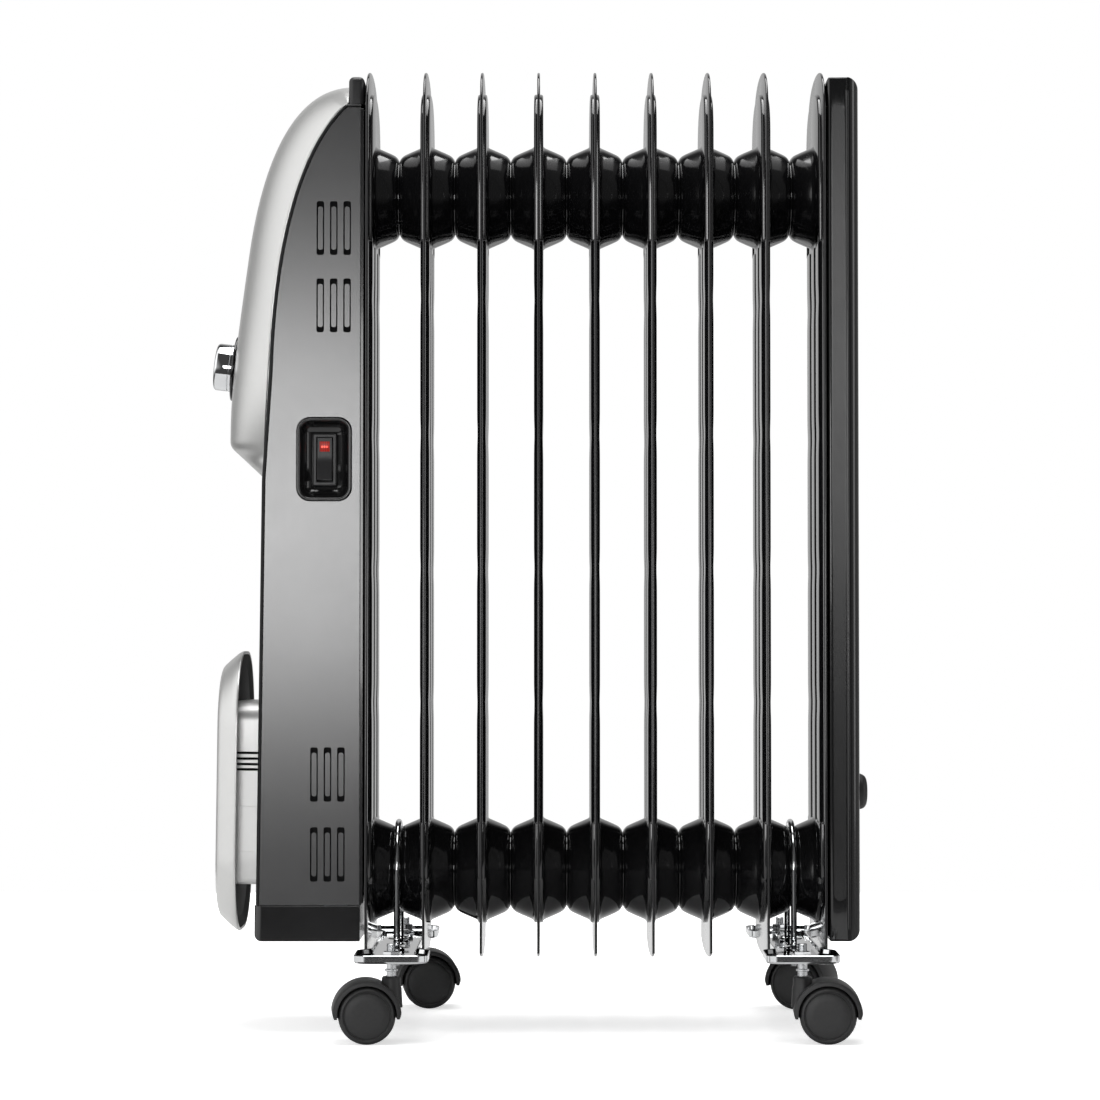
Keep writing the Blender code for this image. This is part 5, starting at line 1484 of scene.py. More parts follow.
@dataclass
class PowerSwitch:
    """The dished bezel, the switch frame, the rocker and its lit lens."""

    shop: Workshop
    rim: float = 1.6 * MM
    slope: float = 5.5 * MM
    frame_rim: float = 2.3 * MM
    corner: float = 8.7 * MM

    def build_bezel(self) -> None:
        """Builds the black dish."""
        low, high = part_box("switch_bezel")
        middle = ((low.x + high.x) / 2, (low.z + high.z) / 2)
        width, height = high.x - low.x, high.z - low.z
        floor_y = low.y + 9.8 * MM
        sections = [(high.y, 0.0), (low.y + 0.9 * MM, 0.0)]
        sections += [
            (low.y + depth * MM, inset * MM) for inset, depth in (
                (0.2, 0.3), (0.8, 0.0), (1.5, 0.15), (2.1, 0.7), (2.7, 1.9), (3.4, 3.8), (4.5, 5.7),
                (6.0, 7.4), (7.8, 8.8), (9.6, 9.6),
            )
        ]
        loops = []
        for y, inset in sections:
            corner = max(self.corner - inset * 0.8, 1.0 * MM)
            outline = rounded_rectangle(width - 2 * inset, height - 2 * inset, corner, 8, middle)
            loops.append([lifted(Plane.XZ, pair, y) for pair in outline])
        bezel = Shape().loft(loops)
        self.shop.piece("switch_dish", bezel, "gloss", stands_for=["switch_bezel"], sharp=40.0)
        clip = Shape().block(
            (middle[0] + 8.2 * MM, floor_y - 2.0 * MM, middle[1] - 8.0 * MM),
            (middle[0] + 11.0 * MM, floor_y + 0.5 * MM, middle[1] - 3.0 * MM),
        )
        clip.bevel(0.8 * MM, 3, lambda edge: True)
        self.shop.piece("switch_clip", clip, "satin")

    def build_frame(self) -> None:
        """Builds the switch's own frame."""
        low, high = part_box("switch_frame")
        rim = self.frame_rim
        body = Shape().block(low, high)
        body.cut(
            Shape().block(
                (low.x + rim, low.y - 1 * MM, low.z + rim), (high.x - rim, high.y - 2.5 * MM, high.z - rim)
            )
        )
        self.shop.piece("switch_surround", body, "satin", stands_for=["switch_frame"], soften=0.55 * MM)

    def build_rocker(self) -> None:
        """Builds the rocker about its pivot, and the lens let into its upper half."""
        pivot = Vector(joint("rocker_tilt")["pos_m"])
        low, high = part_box("switch_frame")
        half_width = (high.x - low.x) / 2 - self.frame_rim - 0.3 * MM
        half_height = (high.z - low.z) / 2 - self.frame_rim - 0.6 * MM
        front, crest = -3.5 * MM, 2.2 * MM
        outline = [(front - crest, half_height)]
        dip = 12
        for step in range(1, dip):
            z = half_height * (1 - 2 * step / dip)
            outline.append((front - crest * abs(z / half_height) ** 1.25, z))
        outline += [(front - crest, -half_height), (0.0, -half_height + 0.4 * MM)]
        outline += [(3.5 * MM, -half_height * 0.35), (3.5 * MM, half_height * 0.35)]
        outline.append((0.0, half_height - 0.4 * MM))
        body = Shape().prism(outline, Plane.YZ, -half_width, 2 * half_width)
        tilt = Matrix.Translation(pivot) @ Matrix.Rotation(math.radians(-7.0), 4, "X")
        body.placed(tilt)
        self.shop.piece(
            "rocker_paddle", body, "satin", body="power_rocker", stands_for=["rocker"], soften=0.45 * MM,
            sharp=30.0,
        )
        share = 8.0 * MM / half_height
        seat_y = front - crest * share**1.25
        lean = math.atan2(crest * 1.25 * share**0.25, half_height)
        lens = Shape().block((-3.2 * MM, -0.25 * MM, -3.3 * MM), (3.2 * MM, 0.6 * MM, 3.3 * MM))
        lens.bevel(0.2 * MM, 2, lambda edge: True)
        seat = tilt @ Matrix.Translation((0.0, seat_y, 8.0 * MM)) @ Matrix.Rotation(lean, 4, "X")
        lens.placed(seat)
        cells = Shape()
        for x in (-1.7 * MM, 0.0, 1.7 * MM):
            cells.block((x - 0.6 * MM, -0.34 * MM, -0.75 * MM), (x + 0.6 * MM, 0.0, 0.45 * MM))
        self.shop.piece("rocker_lamp_cells", cells.placed(seat), "lamp", body="power_rocker")
        self.shop.piece("rocker_window", lens, "lens", body="power_rocker", stands_for=["rocker_lens"])

    def build(self) -> None:
        """Builds and dresses the switch."""
        self.build_bezel()
        self.build_frame()
        self.build_rocker()


# ---------------------------------------------------------------- cord store


@dataclass
class CordStore:
    """The core and the bevelled flange that the mains lead is wound round."""

    shop: Workshop
    housing: ControlHousing
    level: float = 154.5 * MM
    core_width: float = 92.0 * MM
    core_height: float = 119.0 * MM
    core_corner: float = 14.0 * MM
    flange_width: float = 126.0 * MM
    flange_height: float = 184.0 * MM
    flange_corner: float = 50.0 * MM
    grooves: tuple[float, ...] = (180.4 * MM, 176.7 * MM, 173.1 * MM, 169.7 * MM)
    seams: tuple[float, ...] = (145.7 * MM, 116.4 * MM)

    def __post_init__(self) -> None:
        """Works out the lean of the housing's lower front."""
        foot, base = self.housing.front()[-2:]
        lean = math.atan2(foot[0] - base[0], foot[1] - base[1])
        seat = Vector((self.housing.front_x(self.level), 0.0, self.level))
        self.stand = Matrix.Translation(seat) @ Matrix.Rotation(lean, 4, "Y")

    def core_outline(self) -> list[Pair]:
        """The core's Y-Z outline about its middle, with grooves and seams let into both sides.

        Returns:
            The outline's points.
        """
        half = self.core_width / 2
        notches = [(z - self.level, 0.7 * MM, 0.9 * MM) for z in self.grooves]
        notches += [(z - self.level, 0.2 * MM, 0.3 * MM) for z in self.seams]
        side: list[Pair] = []
        for z, depth, width in sorted(notches):
            side += [(half, z - width), (half - depth, z - width * 0.6)]
            side += [(half - depth, z + width * 0.6), (half, z + width)]
        corner = self.core_corner
        top = self.core_height / 2
        upper = arc((half - corner, top - corner), corner, 0.0, math.pi / 2, 10)
        upper += [(-y, z) for y, z in reversed(upper)]
        lower = arc((half - corner * 0.3, -top + corner * 0.3), corner * 0.3, -math.pi / 2, 0.0, 4)
        left_lower = [(-y, z) for y, z in reversed(lower)]
        left_side = [(-y, z) for y, z in reversed(side)]
        return distinct(side + upper + left_side + left_lower + lower)

    def build_core(self) -> None:
        """Builds the grooved core, with dark strips in its grooves and seams as painted shade."""
        core = Shape().prism(self.core_outline(), Plane.YZ, -0.4 * MM, -15.7 * MM)
        core.placed(self.stand)
        self.shop.piece("store_core", core, "core", stands_for=["cord_core"], sharp=28.0)
        # Painted shade: matt strips under the grooves and seams stand in for the shade inside them.
        lines = Shape()
        half = self.core_width / 2
        for heights, tall in ((self.grooves, 0.65 * MM), (self.seams, 0.15 * MM)):
            for z in heights:
                for side in (-1, 1):
                    y = sorted((side * (half - 0.25 * MM), side * (half - 3 * MM)))
                    low = (-15.6 * MM, y[0], z - self.level - tall)
                    lines.block(low, (-0.5 * MM, y[1], z - self.level + tall))
        self.shop.piece("store_core_groove_painted_shade", lines.placed(self.stand), "matt")

    def rim(self, inset: float, out: float) -> list[Vector]:
        """One loop of the flange, inset from its edge, at a distance out from the housing.

        Args:
            inset: how far inside the flange's outline it lies.
            out: its distance from the housing.

        Returns:
            The loop's points.
        """
        corner = max(self.flange_corner - inset, 8 * MM)
        outline = rounded_rectangle(self.flange_width - 2 * inset, self.flange_height - 2 * inset, corner, 14)
        return [lifted(Plane.YZ, pair, -out) for pair in outline]

    def build_flange(self) -> None:
        """Builds the silver face with its bevelled rim, and the dark back let into it."""
        steps = (
            (12.0, 20.5), (2.2, 15.0), (2.0, 13.6), (1.6, 13.32), (0.7, 13.3), (0.15, 13.5), (0.0, 14.0),
            (0.15, 14.7), (0.9, 16.2), (2.6, 18.4), (5.2, 21.4), (7.8, 24.2), (9.4, 25.8), (10.8, 26.8),
            (12.6, 27.4), (16.0, 27.7), (24.0, 27.8),
        )
        face = Shape().loft([self.rim(inset * MM, out * MM) for inset, out in steps])
        face.placed(self.stand)
        self.shop.piece("store_flange", face, "silver", stands_for=["cord_flange"], sharp=40.0)
        dark = (
            (1.9, 15.6), (1.9, 13.9), (2.3, 13.4), (3.4, 13.7), (6.0, 14.6), (10.0, 16.0), (16.0, 17.6),
            (24.0, 18.9), (34.0, 19.7), (46.0, 20.0),
        )
        back = Shape().loft([self.rim(inset * MM, out * MM) for inset, out in dark])
        back.placed(self.stand)
        self.shop.piece("store_flange_back", back, "matt", sharp=40.0)

    def build(self) -> None:
        """Builds and dresses the cord store."""
        self.build_core()
        self.build_flange()


# ---------------------------------------------------------------- rear cover


@dataclass
class RearCover:
    """The glossy cover behind the last fin, with its sunk side panels, louvres and buffer."""

    shop: Workshop
    edge_radius: float = 8.5 * MM
    wall: float = 2.5 * MM
    louvre_height: float = 1.3 * MM
    louvre_width: float = 74.0 * MM
    louvres: tuple[Pair, ...] = ((541.0 * MM, 577.0 * MM), (91.0 * MM, 118.0 * MM))

    def __post_init__(self) -> None:
        """Reads the cover's place from the frame."""
        self.low, self.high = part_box("rear_cover")

    def build_cover(self) -> None:
        """Builds the tray with a sunk strip on each side."""
        low, high = self.low, self.high
        tray = Shape().block(low, high)
        tray.bevel(
            self.edge_radius, 9, lambda edge: all(vert.co.x > high.x - 1e-6 for vert in edge.verts)
        )
        tray.bevel(
            4.0 * MM, 4,
            lambda edge: all(
                min(vert.co.z - low.z, high.z - vert.co.z) < 1e-6 and high.y - abs(vert.co.y) < 1e-6
                for vert in edge.verts
            ),
        )
        tray.bevel(
            2.4 * MM, 4,
            lambda edge: all(
                vert.co.x < low.x + 1e-6 and min(vert.co.z - low.z, high.z - vert.co.z) < 1e-6
                for vert in edge.verts
            ),
        )
        hollow = Shape().block(
            (low.x - 2 * MM, low.y + self.wall, low.z + self.wall),
            (high.x - self.wall, high.y - self.wall, high.z - self.wall),
        )
        tray.cut(hollow)
        strip_x = (low.x + 2.7 * MM, low.x + 11.2 * MM)
        strip = rounded_rectangle(
            strip_x[1] - strip_x[0], high.z - low.z - 44 * MM, 4.0 * MM, 6,
            ((strip_x[0] + strip_x[1]) / 2, (low.z + high.z) / 2 + 4 * MM),
        )
        sunk = Shape().prism(strip, Plane.XZ, low.y - 1 * MM, 1.8 * MM)
        sunk.prism(strip, Plane.XZ, high.y + 1 * MM, -1.8 * MM)
        tray.cut(sunk)
        self.shop.piece(
            "rear_shell", tray, "gloss", stands_for=["rear_cover"], soften=0.4 * MM, sharp=25.0
        )
        bead_x = low.x + 12.6 * MM
        beads = Shape()
        for side in (-1, 1):
            y = side * (high.y - 0.6 * MM)
            path = [Vector((bead_x, y, z)) for z in (low.z + 8 * MM, high.z - 9 * MM)]
            beads.swept(path, 1.1 * MM, 4)
        self.shop.piece("rear_beads", beads, "gloss")
        self.build_strips(strip)

    def build_strips(self, outline: Sequence[Pair]) -> None:
        """Builds the satin strips that lie in the sunk sides.

        Args:
            outline: the sunk strip's X-Z outline.
        """
        middle = Vector((sum(x for x, _ in outline), sum(z for _, z in outline))) / len(outline)
        inner = [(middle.x + (x - middle.x) * 0.95, middle.y + (z - middle.y) * 0.999) for x, z in outline]
        strips = Shape()
        for side in (-1, 1):
            strips.prism(inner, Plane.XZ, side * (self.high.y - 0.95 * MM), side * 0.25 * MM)
        self.shop.piece("rear_side_strips", strips, "strip")

    def build_louvres(self) -> None:
        """Builds the raised louvres on the outside."""
        made = Shape()
        for start, end in self.louvres:
            count = max(3, round((end - start) / (7.2 * MM)))
            for index in range(count):
                z = start + (end - start) * (index + 0.5) / count
                inside, outside = self.high.x - 0.5 * MM, self.louvre_height
                ridge = curve(
                    (inside, z + 2.6 * MM), (self.high.x + outside * 1.4, z + 2.4 * MM),
                    (self.high.x + outside * 1.2, z - 1.2 * MM), (inside, z - 2.4 * MM), 10,
                )
                made.prism(ridge, Plane.XZ, -self.louvre_width / 2, self.louvre_width)
        self.shop.piece("rear_louvres", made, "gloss", soften=0.25 * MM, sharp=50.0)

    def build_buffer(self) -> None:
        """Builds the pad that keeps the heater off a wall."""
        low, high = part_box("rear_buffer")
        middle = (0.0, (low.z + high.z) / 2)
        loops = []
        for x, inset in ((0.0, 0.0), (3.2, 0.0), (4.6, 0.5), (5.8, 1.5), (6.6, 2.9), (7.0, 4.6)):
            width = high.y - low.y - 2 * inset * MM
            height = high.z - low.z - 2 * inset * MM
            outline = rounded_rectangle(width, height, height / 2, 12, middle)
            loops.append([lifted(Plane.YZ, pair, low.x + x * MM) for pair in outline])
        self.shop.piece("buffer_pad", Shape().loft(loops), "rubber", stands_for=["rear_buffer"], sharp=60.0)

    def build(self) -> None:
        """Builds and dresses the rear pieces."""
        self.build_cover()
        self.build_louvres()
        self.build_buffer()


# ---------------------------------------------------------------- undercarriage


@dataclass
class Undercarriage:
    """The chromed caster plates, their U-bolts, nuts, washers and the caster stems."""

    shop: Workshop
    sheet: float = 1.6 * MM
    waist: float = 30.0 * MM
    arm_width: float = 47.0 * MM
    rod: float = 2.0 * MM
    header_z: float = 102.4 * MM
    bend: float = 31.0 * MM

    def outline(self, inset: float, low: Vector, high: Vector) -> list[Pair]:
        """A plate's X-Y outline about its middle.

        Args:
            inset: how far inside the edge it is drawn.
            low: the plate's lowest corner.
            high: its highest corner.

        Returns:
            The closed outline.
        """
        waist = self.waist / 2 - inset
        arm = (high.x - low.x) / 2 - inset
        end = (high.y - low.y) / 2 - inset
        knee = 69.0 * MM + inset
        corner = 8.0 * MM
        blend = curve((waist, knee - 6 * MM), (waist, knee + 1 * MM), (arm, knee), (arm, knee + 10 * MM), 8)
        round_end = arc((arm - corner, end - corner), corner, 0.0, math.pi / 2, 6)
        right = blend + round_end
        half = right + [(-x, y) for x, y in reversed(right)]
        return half + [(-x, -y) for x, y in half]

    def build_plate(self, label: str) -> None:
        """Builds one pressed plate with its lip and a stiffening bead.

        Args:
            label: front or rear.
        """
        low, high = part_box(f"caster_plate_{label}")
        middle = (low.x + high.x) / 2
        loops = [
            (self.sheet * 1.6, low.z), (self.sheet * 0.5, low.z + 0.35 * MM), (0.0, low.z + 1.5 * MM),
            (0.0, high.z - 0.4 * MM), (0.4 * MM, high.z), (0.9 * MM, high.z - 0.4 * MM),
            (self.sheet * 0.8, low.z + 2.6 * MM), (self.sheet * 1.6, low.z + 1.75 * MM),
            (self.sheet * 2.6, low.z + 1.6 * MM),
        ]
        plate = Shape().loft(
            [[lifted(Plane.XY, pair, z) for pair in self.outline(inset, low, high)] for inset, z in loops]
        )
        plate.placed(Matrix.Translation((middle, 0.0, 0.0)))
        bead = rounded_rectangle(9.0 * MM, 40.0 * MM, 4.5 * MM, 8)
        for side in (-1, 0, 1):
            ridge = []
            centre = side * 74.0 * MM
            for inset, rise in ((0.0, 1.2), (0.5, 2.1), (1.4, 2.7), (2.6, 3.0)):
                outline = [(x * (1 - inset / 4.5), y * (1 - inset / 20)) for x, y in bead]
                ridge.append([Vector((middle + x, centre + y, low.z + rise * MM)) for x, y in outline])
            plate.loft(ridge)
        self.shop.piece(
            f"pressed_plate_{label}", plate, "chrome", stands_for=[f"caster_plate_{label}"], sharp=18.0
        )

    @staticmethod
    def nut(shape: Shape, foot: Sequence[float], across: float, height: float, flange: float = 0.0) -> None:
        """Adds a hexagon nut with turned-off corners, standing on a point.

        Args:
            shape: the shape it is added to.
            foot: the middle of its underside.
            across: its size over the corners.
            height: its height.
            flange: the radius of its flange, or 0 for none.
        """
        base = Vector(foot)
        body = Shape().rod(base, base + Vector((0, 0, height)), across / 2, 6)
        body.bevel(height * 0.14, 2, lambda edge: abs(edge.verts[0].co.z - edge.verts[1].co.z) < 1e-7)
        shape.absorb(body.bm)
        if flange:
            collar = [
                (0.0, 0.0), (flange, 0.0), (flange, 0.7 * MM), (flange * 0.8, 1.3 * MM), (0.0, 1.3 * MM)
            ]
            shape.turned(collar, Matrix.Translation(base), 40)

    @staticmethod
    def thread(shape: Shape, foot: Sequence[float], radius: float, length: float) -> None:
        """Adds a threaded stretch as a stack of sharp rings.

        Args:
            shape: the shape it is added to.
            foot: the middle of its lower end.
            radius: its outer radius.
            length: its length.
        """
        pitch = 0.8 * MM
        turns = max(2, int(length / pitch))
        profile: list[Pair] = [(0.0, 0.0), (radius * 0.86, 0.0)]
        for turn in range(turns):
            profile += [(radius, (turn + 0.4) * pitch), (radius * 0.86, (turn + 0.95) * pitch)]
        profile.append((0.0, turns * pitch))
        shape.turned(profile, Matrix.Translation(Vector(foot)), 20)

    def build_bolt(self, label: str) -> None:
        """Builds one U-bolt over the lower header with its threads, and the nuts and washers on it.

        Args:
            label: front or rear.
        """
        low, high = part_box(f"u_bolt_{label}")
        x = (low.x + high.x) / 2
        arch = arc((0.0, self.header_z), self.bend, 0.0, math.pi, 48)
        foot = low.z + 14 * MM
        path = [(self.bend, foot), *arch, (-self.bend, foot)]
        bolt = Shape().swept([Vector((x, y, z)) for y, z in path], self.rod, 5)
        plate_low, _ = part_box(f"caster_plate_{label}")
        top = plate_low.z + self.sheet
        for side in (-1, 1):
            y = side * self.bend
            self.thread(bolt, (x, y, low.z), self.rod, 15 * MM)
            for level in (0.0, 3.4, 7.0):
                washer = [
                    (0.0, 0.0), (5.2 * MM, 0.0), (5.4 * MM, 0.3 * MM), (5.2 * MM, 0.8 * MM), (0.0, 0.8 * MM)
                ]
                bolt.turned(washer, Matrix.Translation((x, y, top + level * MM)), 32)
        self.shop.piece(f"clamp_bolt_{label}", bolt, "chrome", stands_for=[f"u_bolt_{label}"], sharp=30.0)
        for number, side in ((1, -1), (2, 1)):
            name = f"u_bolt_nut_{label}_{number}"
            nut_low, nut_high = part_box(name)
            nut = Shape()
            self.nut(nut, (x, side * self.bend, nut_low.z), 11 * MM, nut_high.z - nut_low.z)
            self.shop.piece(f"clamp_nut_{label}_{number}", nut, "zinc", stands_for=[name])

    def build_stem(self, label: str) -> None:
        """Builds one caster stem with its thread, collar and lock nut.

        Args:
            label: the caster's name.
        """
        node = f"caster_stem_{label}"
        low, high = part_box(node)
        x, y = (low.x + high.x) / 2, (low.y + high.y) / 2
        radius = (high.x - low.x) / 2
        profile = [
            (0.0, low.z), (radius, low.z), (radius, low.z + 16 * MM), (radius + 1.1 * MM, low.z + 16.4 * MM),
            (radius + 1.1 * MM, low.z + 17.4 * MM), (radius, low.z + 17.8 * MM), (radius, low.z + 22 * MM),
            (0.0, low.z + 22 * MM),
        ]
        stem = Shape().turned(profile, Matrix.Translation((x, y, 0.0)), 40)
        self.thread(stem, (x, y, high.z - 12 * MM), radius, 12 * MM)
        self.nut(stem, (x, y, 52.0 * MM), 11.4 * MM, 5.2 * MM, 6.2 * MM)
        self.shop.piece(f"stem_{label}", stem, "zinc", stands_for=[node], sharp=30.0)

    def build(self) -> None:
        """Builds and dresses the undercarriage."""
        for label in ("front", "rear"):
            self.build_plate(label)
            self.build_bolt(label)
        for end in ("front", "rear"):
            for side in ("left", "right"):
                self.build_stem(f"{end}_{side}")


@dataclass
class Caster:
    """One twin-wheel caster: hood, web, neck and two wheels, drawn about its swivel axis."""

    shop: Workshop
    label: str
    trail: float = 15.8 * MM
    wheel_radius: float = 18.0 * MM
    wheel_width: float = 13.4 * MM
    spacing: float = 7.2 * MM
    hood_gap: float = 0.8 * MM
    hood_wall: float = 3.0 * MM
    hood_width: float = 33.0 * MM
    web: float = 6.4 * MM
    skirt: float = math.radians(6.0)
    neck_radius: float = 6.0 * MM
    neck_top: float = 41.5 * MM

    def __post_init__(self) -> None:
        """Reads the caster's place and heading from the frame's joints."""
        foot = Vector(joint(f"swivel_{self.label}")["pos_m"])
        across = Vector(joint(f"roll_{self.label}_a")["axis"])
        heading = math.atan2(-across.x, across.y)
        self.stand = Matrix.Translation((foot.x, foot.y, 0.0)) @ Matrix.Rotation(heading, 4, "Z")
        self.hub = (self.trail, self.wheel_radius)

    def build_hood(self) -> None:
        """Builds the hood over the wheels with its web and neck."""
        inner = self.wheel_radius + self.hood_gap
        outer = inner + self.hood_wall
        start, end = -self.skirt, math.pi + self.skirt
        half = self.hood_width / 2
        loops = []
        steps = 48
        for step in range(steps + 1):
            angle = start + (end - start) * step / steps
            closing = min(1.0, min(step, steps - step) / 2.5)
            high = inner + 0.6 * MM + (outer - inner - 0.6 * MM) * (0.55 + 0.45 * closing)
            across = Vector((math.cos(angle), 0.0, math.sin(angle)))
            middle = Vector((self.hub[0], 0.0, self.hub[1]))
            soft = 1.3 * MM
            section = [
                (inner, -half), (high - soft, -half), (high - soft * 0.3, -half + soft * 0.3),
                (high, -half + soft), (high, 0.0), (high, half - soft),
                (high - soft * 0.3, half - soft * 0.3), (high - soft, half), (inner, half),
                (inner, self.web / 2), (inner - 0.4 * MM, 0.0), (inner, -self.web / 2),
            ]
            loops.append([middle + across * radius + Vector((0.0, y, 0.0)) for radius, y in section])
        hood = Shape().loft(loops)
        core = arc(self.hub, inner + 0.5 * MM, start, end, 40)
        core += [(self.hub[0] - 6 * MM, self.hub[1] - 6 * MM), (self.hub[0] + 6 * MM, self.hub[1] - 6 * MM)]
        hood.prism(core, Plane.XZ, -self.web / 2, self.web)
        top = self.neck_top
        neck = [
            (0.0, self.wheel_radius + 4 * MM), (self.neck_radius + 1.2 * MM, self.wheel_radius + 4 * MM),
            (self.neck_radius + 0.6 * MM, top - 8.0 * MM), (self.neck_radius, top - 5.0 * MM),
            (self.neck_radius, top - 1.0 * MM), (self.neck_radius - 0.8 * MM, top), (3.6 * MM, top),
            (3.4 * MM, top - 0.8 * MM), (0.0, top - 0.8 * MM),
        ]
        hood.turned(neck, Matrix.Identity(4), 40)
        hood.placed(self.stand)
        self.shop.piece(
            f"hood_{self.label}", hood, "caster", body=f"caster_{self.label}",
            stands_for=[f"caster_hood_{self.label}"], sharp=35.0,
        )

    def wheel_profile(self) -> list[Pair]:
        """The wheel's (radius, height) profile from its inner face to its dished outer face.

        Returns:
            The profile's points.
        """
        drawn_radius, outer = 18.0, self.wheel_width / MM
        points = [
            (0.0, 0.0), (14.5, 0.0), (16.2, 0.3), (17.4, 0.8), (drawn_radius, 1.9),
            (drawn_radius, outer - 3.4), (17.7, outer - 2.2), (17.0, outer - 1.1), (16.2, outer - 0.4),
            (15.5, outer - 0.15), (15.1, outer - 0.5), (14.9, outer - 0.9), (14.5, outer - 0.95),
            (14.2, outer - 0.6), (13.6, outer - 0.25), (9.0, outer - 0.02), (0.0, outer),
        ]
        return [(r * self.wheel_radius / drawn_radius, h * MM) for r, h in points]

    def build_wheels(self) -> None:
        """Builds the two wheels."""
        for wheel, direction in (("a", -1), ("b", 1)):
            start = (self.hub[0], direction * self.spacing / 2, self.hub[1])
            made = Shape().turned(self.wheel_profile(), axis_matrix(start, (0, direction, 0)), 72)
            made.placed(self.stand)
            self.shop.piece(
                f"wheel_{self.label}_{wheel}", made, "caster", body=f"wheel_{self.label}_{wheel}",
                stands_for=[f"caster_wheel_{self.label}_{wheel}"], sharp=32.0,
            )

    def build(self) -> None:
        """Builds and dresses the caster."""
        self.build_hood()
        self.build_wheels()
        self.shop.dress(f"caster_axle_{self.label}", "zinc")


# ---------------------------------------------------------------- studio


@dataclass
class Softbox:
    """One rectangular lamp that points at a target."""

    name: str
    place: tuple[float, float, float]
    target: tuple[float, float, float]
    size: Pair
    power: float
    tint: Colour = (1.0, 1.0, 1.0)


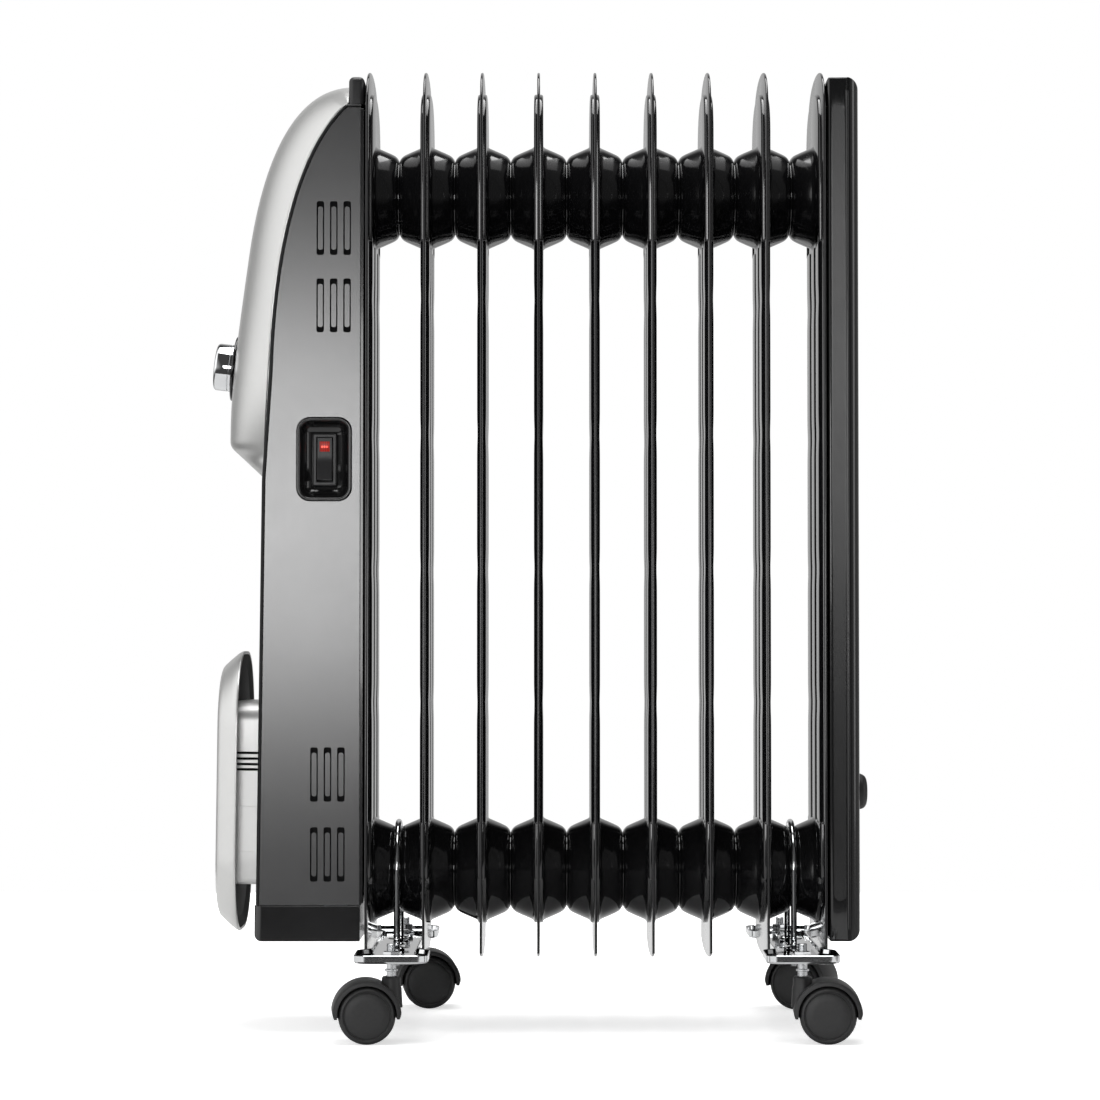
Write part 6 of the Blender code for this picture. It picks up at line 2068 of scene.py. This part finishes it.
@dataclass
class Studio:
    """The camera, the pale floor, the white surroundings and the softboxes."""

    shop: Workshop
    eye: tuple[float, float, float] = (0.0081, -2.2209, 0.2465)
    pitch: float = math.radians(1.738)
    lens: float = 109.29
    backdrop: float = 0.5
    flags: float = 0.06
    left_glow: float = 1.4
    right_glow: float = 0.3
    floor_near: float = 0.6
    floor_far: float = 1.0
    floor_box: tuple[float, float, float, float] = (-0.75, 0.75, -0.6, 1.2)
    softboxes: tuple[Softbox, ...] = (
        Softbox("key_front", (-0.40, -2.40, 0.45), (-0.15, -0.06, 0.33), (0.62, 0.5), 7.2),
        Softbox("front_right", (0.44, -2.40, 0.66), (0.2, -0.06, 0.45), (0.26, 0.6), 2.2),
        Softbox("right_wall", (2.2, -0.7, 0.8), (0.2, 0.0, 0.35), (0.7, 1.6), 6.0),
        Softbox("overhead", (0.05, 0.1, 2.3), (0.0, 0.0, 0.4), (1.4, 2.0), 38.0),
    )

    def build_camera(self) -> None:
        """Builds the camera."""
        data = bpy.data.cameras.new("camera")
        data.lens = self.lens
        data.sensor_width = 36.0
        data.clip_end = 50.0
        camera = bpy.data.objects.new("camera", data)
        bpy.context.scene.collection.objects.link(camera)
        camera.location = self.eye
        camera.rotation_euler = (math.pi / 2 + self.pitch, 0.0, 0.0)
        bpy.context.scene.camera = camera

    def build_floor(self) -> None:
        """Builds the pale floor."""
        shape = Shape()
        left, right, near, far = self.floor_box
        middle = Matrix.Translation(((left + right) / 2, (near + far) / 2, 0.0))
        spread = Matrix.Diagonal(((right - left) / 2, (far - near) / 2, 1.0, 1.0))
        bmesh.ops.create_grid(shape.bm, x_segments=8, y_segments=8, size=1.0, matrix=middle @ spread)
        mesh = bpy.data.meshes.new("floor")
        shape.bm.to_mesh(mesh)
        shape.bm.free()
        material = self.shop.paint.material("floor")
        self.glow_floor(material.node_tree)
        mesh.materials.append(material)
        floor = bpy.data.objects.new("floor", mesh)
        bpy.context.scene.collection.objects.link(floor)

    def glow_floor(self, tree: Tree) -> None:
        """Whitens the floor for the camera, fully away from the heater and less beside it.

        Args:
            tree: the floor material's node tree.
        """
        shader = tree.nodes["Principled BSDF"]
        place = tree.nodes.new("ShaderNodeTexCoord")
        length = tree.nodes.new("ShaderNodeVectorMath")
        length.operation = "LENGTH"
        tree.links.new(place.outputs["Object"], length.inputs[0])
        spread = tree.nodes.new("ShaderNodeMapRange")
        spread.interpolation_type = "SMOOTHSTEP"
        for label, value in (
            ("From Min", 0.3), ("From Max", 0.7), ("To Min", self.floor_near), ("To Max", self.floor_far)
        ):
            spread.inputs[label].default_value = value
        tree.links.new(length.outputs["Value"], spread.inputs["Value"])
        path = tree.nodes.new("ShaderNodeLightPath")
        seen = NodeGroups.maths(tree, "MULTIPLY", path.outputs["Is Camera Ray"], spread.outputs["Result"])
        tree.links.new(seen, shader.inputs["Emission Strength"])
        shader.inputs["Emission Color"].default_value = (1.0, 1.0, 1.0, 1.0)

    @staticmethod
    def ramp(tree: Tree, value: Socket, span: Pair, levels: Pair) -> Socket:
        """Adds a smooth ramp.

        Args:
            tree: the node tree.
            value: the socket it reads.
            span: where it starts and ends.
            levels: its two results.

        Returns:
            Its output socket.
        """
        node = tree.nodes.new("ShaderNodeMapRange")
        node.interpolation_type = "SMOOTHSTEP"
        for label, number in zip(("From Min", "From Max", "To Min", "To Max"), (*span, *levels)):
            node.inputs[label].default_value = number
        tree.links.new(value, node.inputs["Value"])
        return node.outputs["Result"]

    def build_world(self) -> None:
        """Builds the surroundings: white, but with dark flags and side walls in reflections."""
        world = bpy.data.worlds.new("studio")
        bpy.context.scene.world = world
        world.use_nodes = True
        tree = world.node_tree
        background = tree.nodes["Background"]
        background.inputs["Color"].default_value = (1.0, 1.0, 1.0, 1.0)
        place = tree.nodes.new("ShaderNodeTexCoord")
        parts = tree.nodes.new("ShaderNodeSeparateXYZ")
        tree.links.new(place.outputs["Generated"], parts.inputs[0])
        behind = self.ramp(tree, parts.outputs["Y"], (0.62, 0.9), (self.flags, self.backdrop))
        facing = self.ramp(tree, parts.outputs["Y"], (0.05, 0.55), (1.0, 0.12))
        above = self.ramp(tree, parts.outputs["Z"], (-0.35, 0.02), (0.1, 1.0))
        toward = NodeGroups.maths(tree, "MULTIPLY", facing, above)
        wall = self.ramp(tree, parts.outputs["X"], (-0.2, -0.62), (0.0, self.left_glow))
        left = NodeGroups.maths(tree, "MULTIPLY", wall, toward)
        right = self.ramp(tree, parts.outputs["X"], (0.45, 0.8), (0.0, self.right_glow))
        sides = NodeGroups.maths(tree, "MAXIMUM", left, right)
        level = NodeGroups.maths(tree, "MAXIMUM", behind, sides)
        path = tree.nodes.new("ShaderNodeLightPath")
        mix = tree.nodes.new("ShaderNodeMix")
        mix.data_type = "FLOAT"
        tree.links.new(path.outputs["Is Camera Ray"], mix.inputs["Factor"])
        tree.links.new(level, mix.inputs["A"])
        mix.inputs["B"].default_value = 1.0
        tree.links.new(mix.outputs["Result"], background.inputs["Strength"])

    def build_lamps(self) -> None:
        """Builds the softboxes, which the camera doesn't see."""
        for box in self.softboxes:
            data = bpy.data.lights.new(box.name, "AREA")
            data.shape = "RECTANGLE"
            data.size, data.size_y = box.size
            data.energy = box.power
            data.color = box.tint
            lamp = bpy.data.objects.new(box.name, data)
            bpy.context.scene.collection.objects.link(lamp)
            lamp.location = box.place
            aim = Vector(box.target) - Vector(box.place)
            lamp.rotation_euler = aim.to_track_quat("-Z", "Y").to_euler()
            lamp.visible_camera = False

    def build(self) -> None:
        """Builds the studio."""
        self.build_camera()
        self.build_floor()
        self.build_world()
        self.build_lamps()
        scene = bpy.context.scene
        scene.view_settings.view_transform = "Standard"
        scene.view_settings.look = "None"


# ---------------------------------------------------------------- heater


def build_heater(shop: Workshop) -> None:
    """Builds every sub-assembly in order.

    Args:
        shop: the workshop that makes the pieces.
    """
    FinPack(shop).build()
    housing = ControlHousing(shop)
    housing.build()
    FrontPanel(shop, housing).build()
    ThermostatDial(shop).build()
    PowerSwitch(shop).build()
    CordStore(shop, housing).build()
    RearCover(shop).build()
    Undercarriage(shop).build()
    for label in ("front_left", "front_right", "rear_left", "rear_right"):
        Caster(shop, label).build()


def main() -> None:
    """Builds the heater and the studio round it."""
    logging.basicConfig(level=logging.INFO, format="%(name)s %(message)s")
    shop = Workshop()
    build_heater(shop)
    Studio(shop).build()
    LOG.info("%d pieces made", shop.count)


if __name__ == "__main__":
    main()
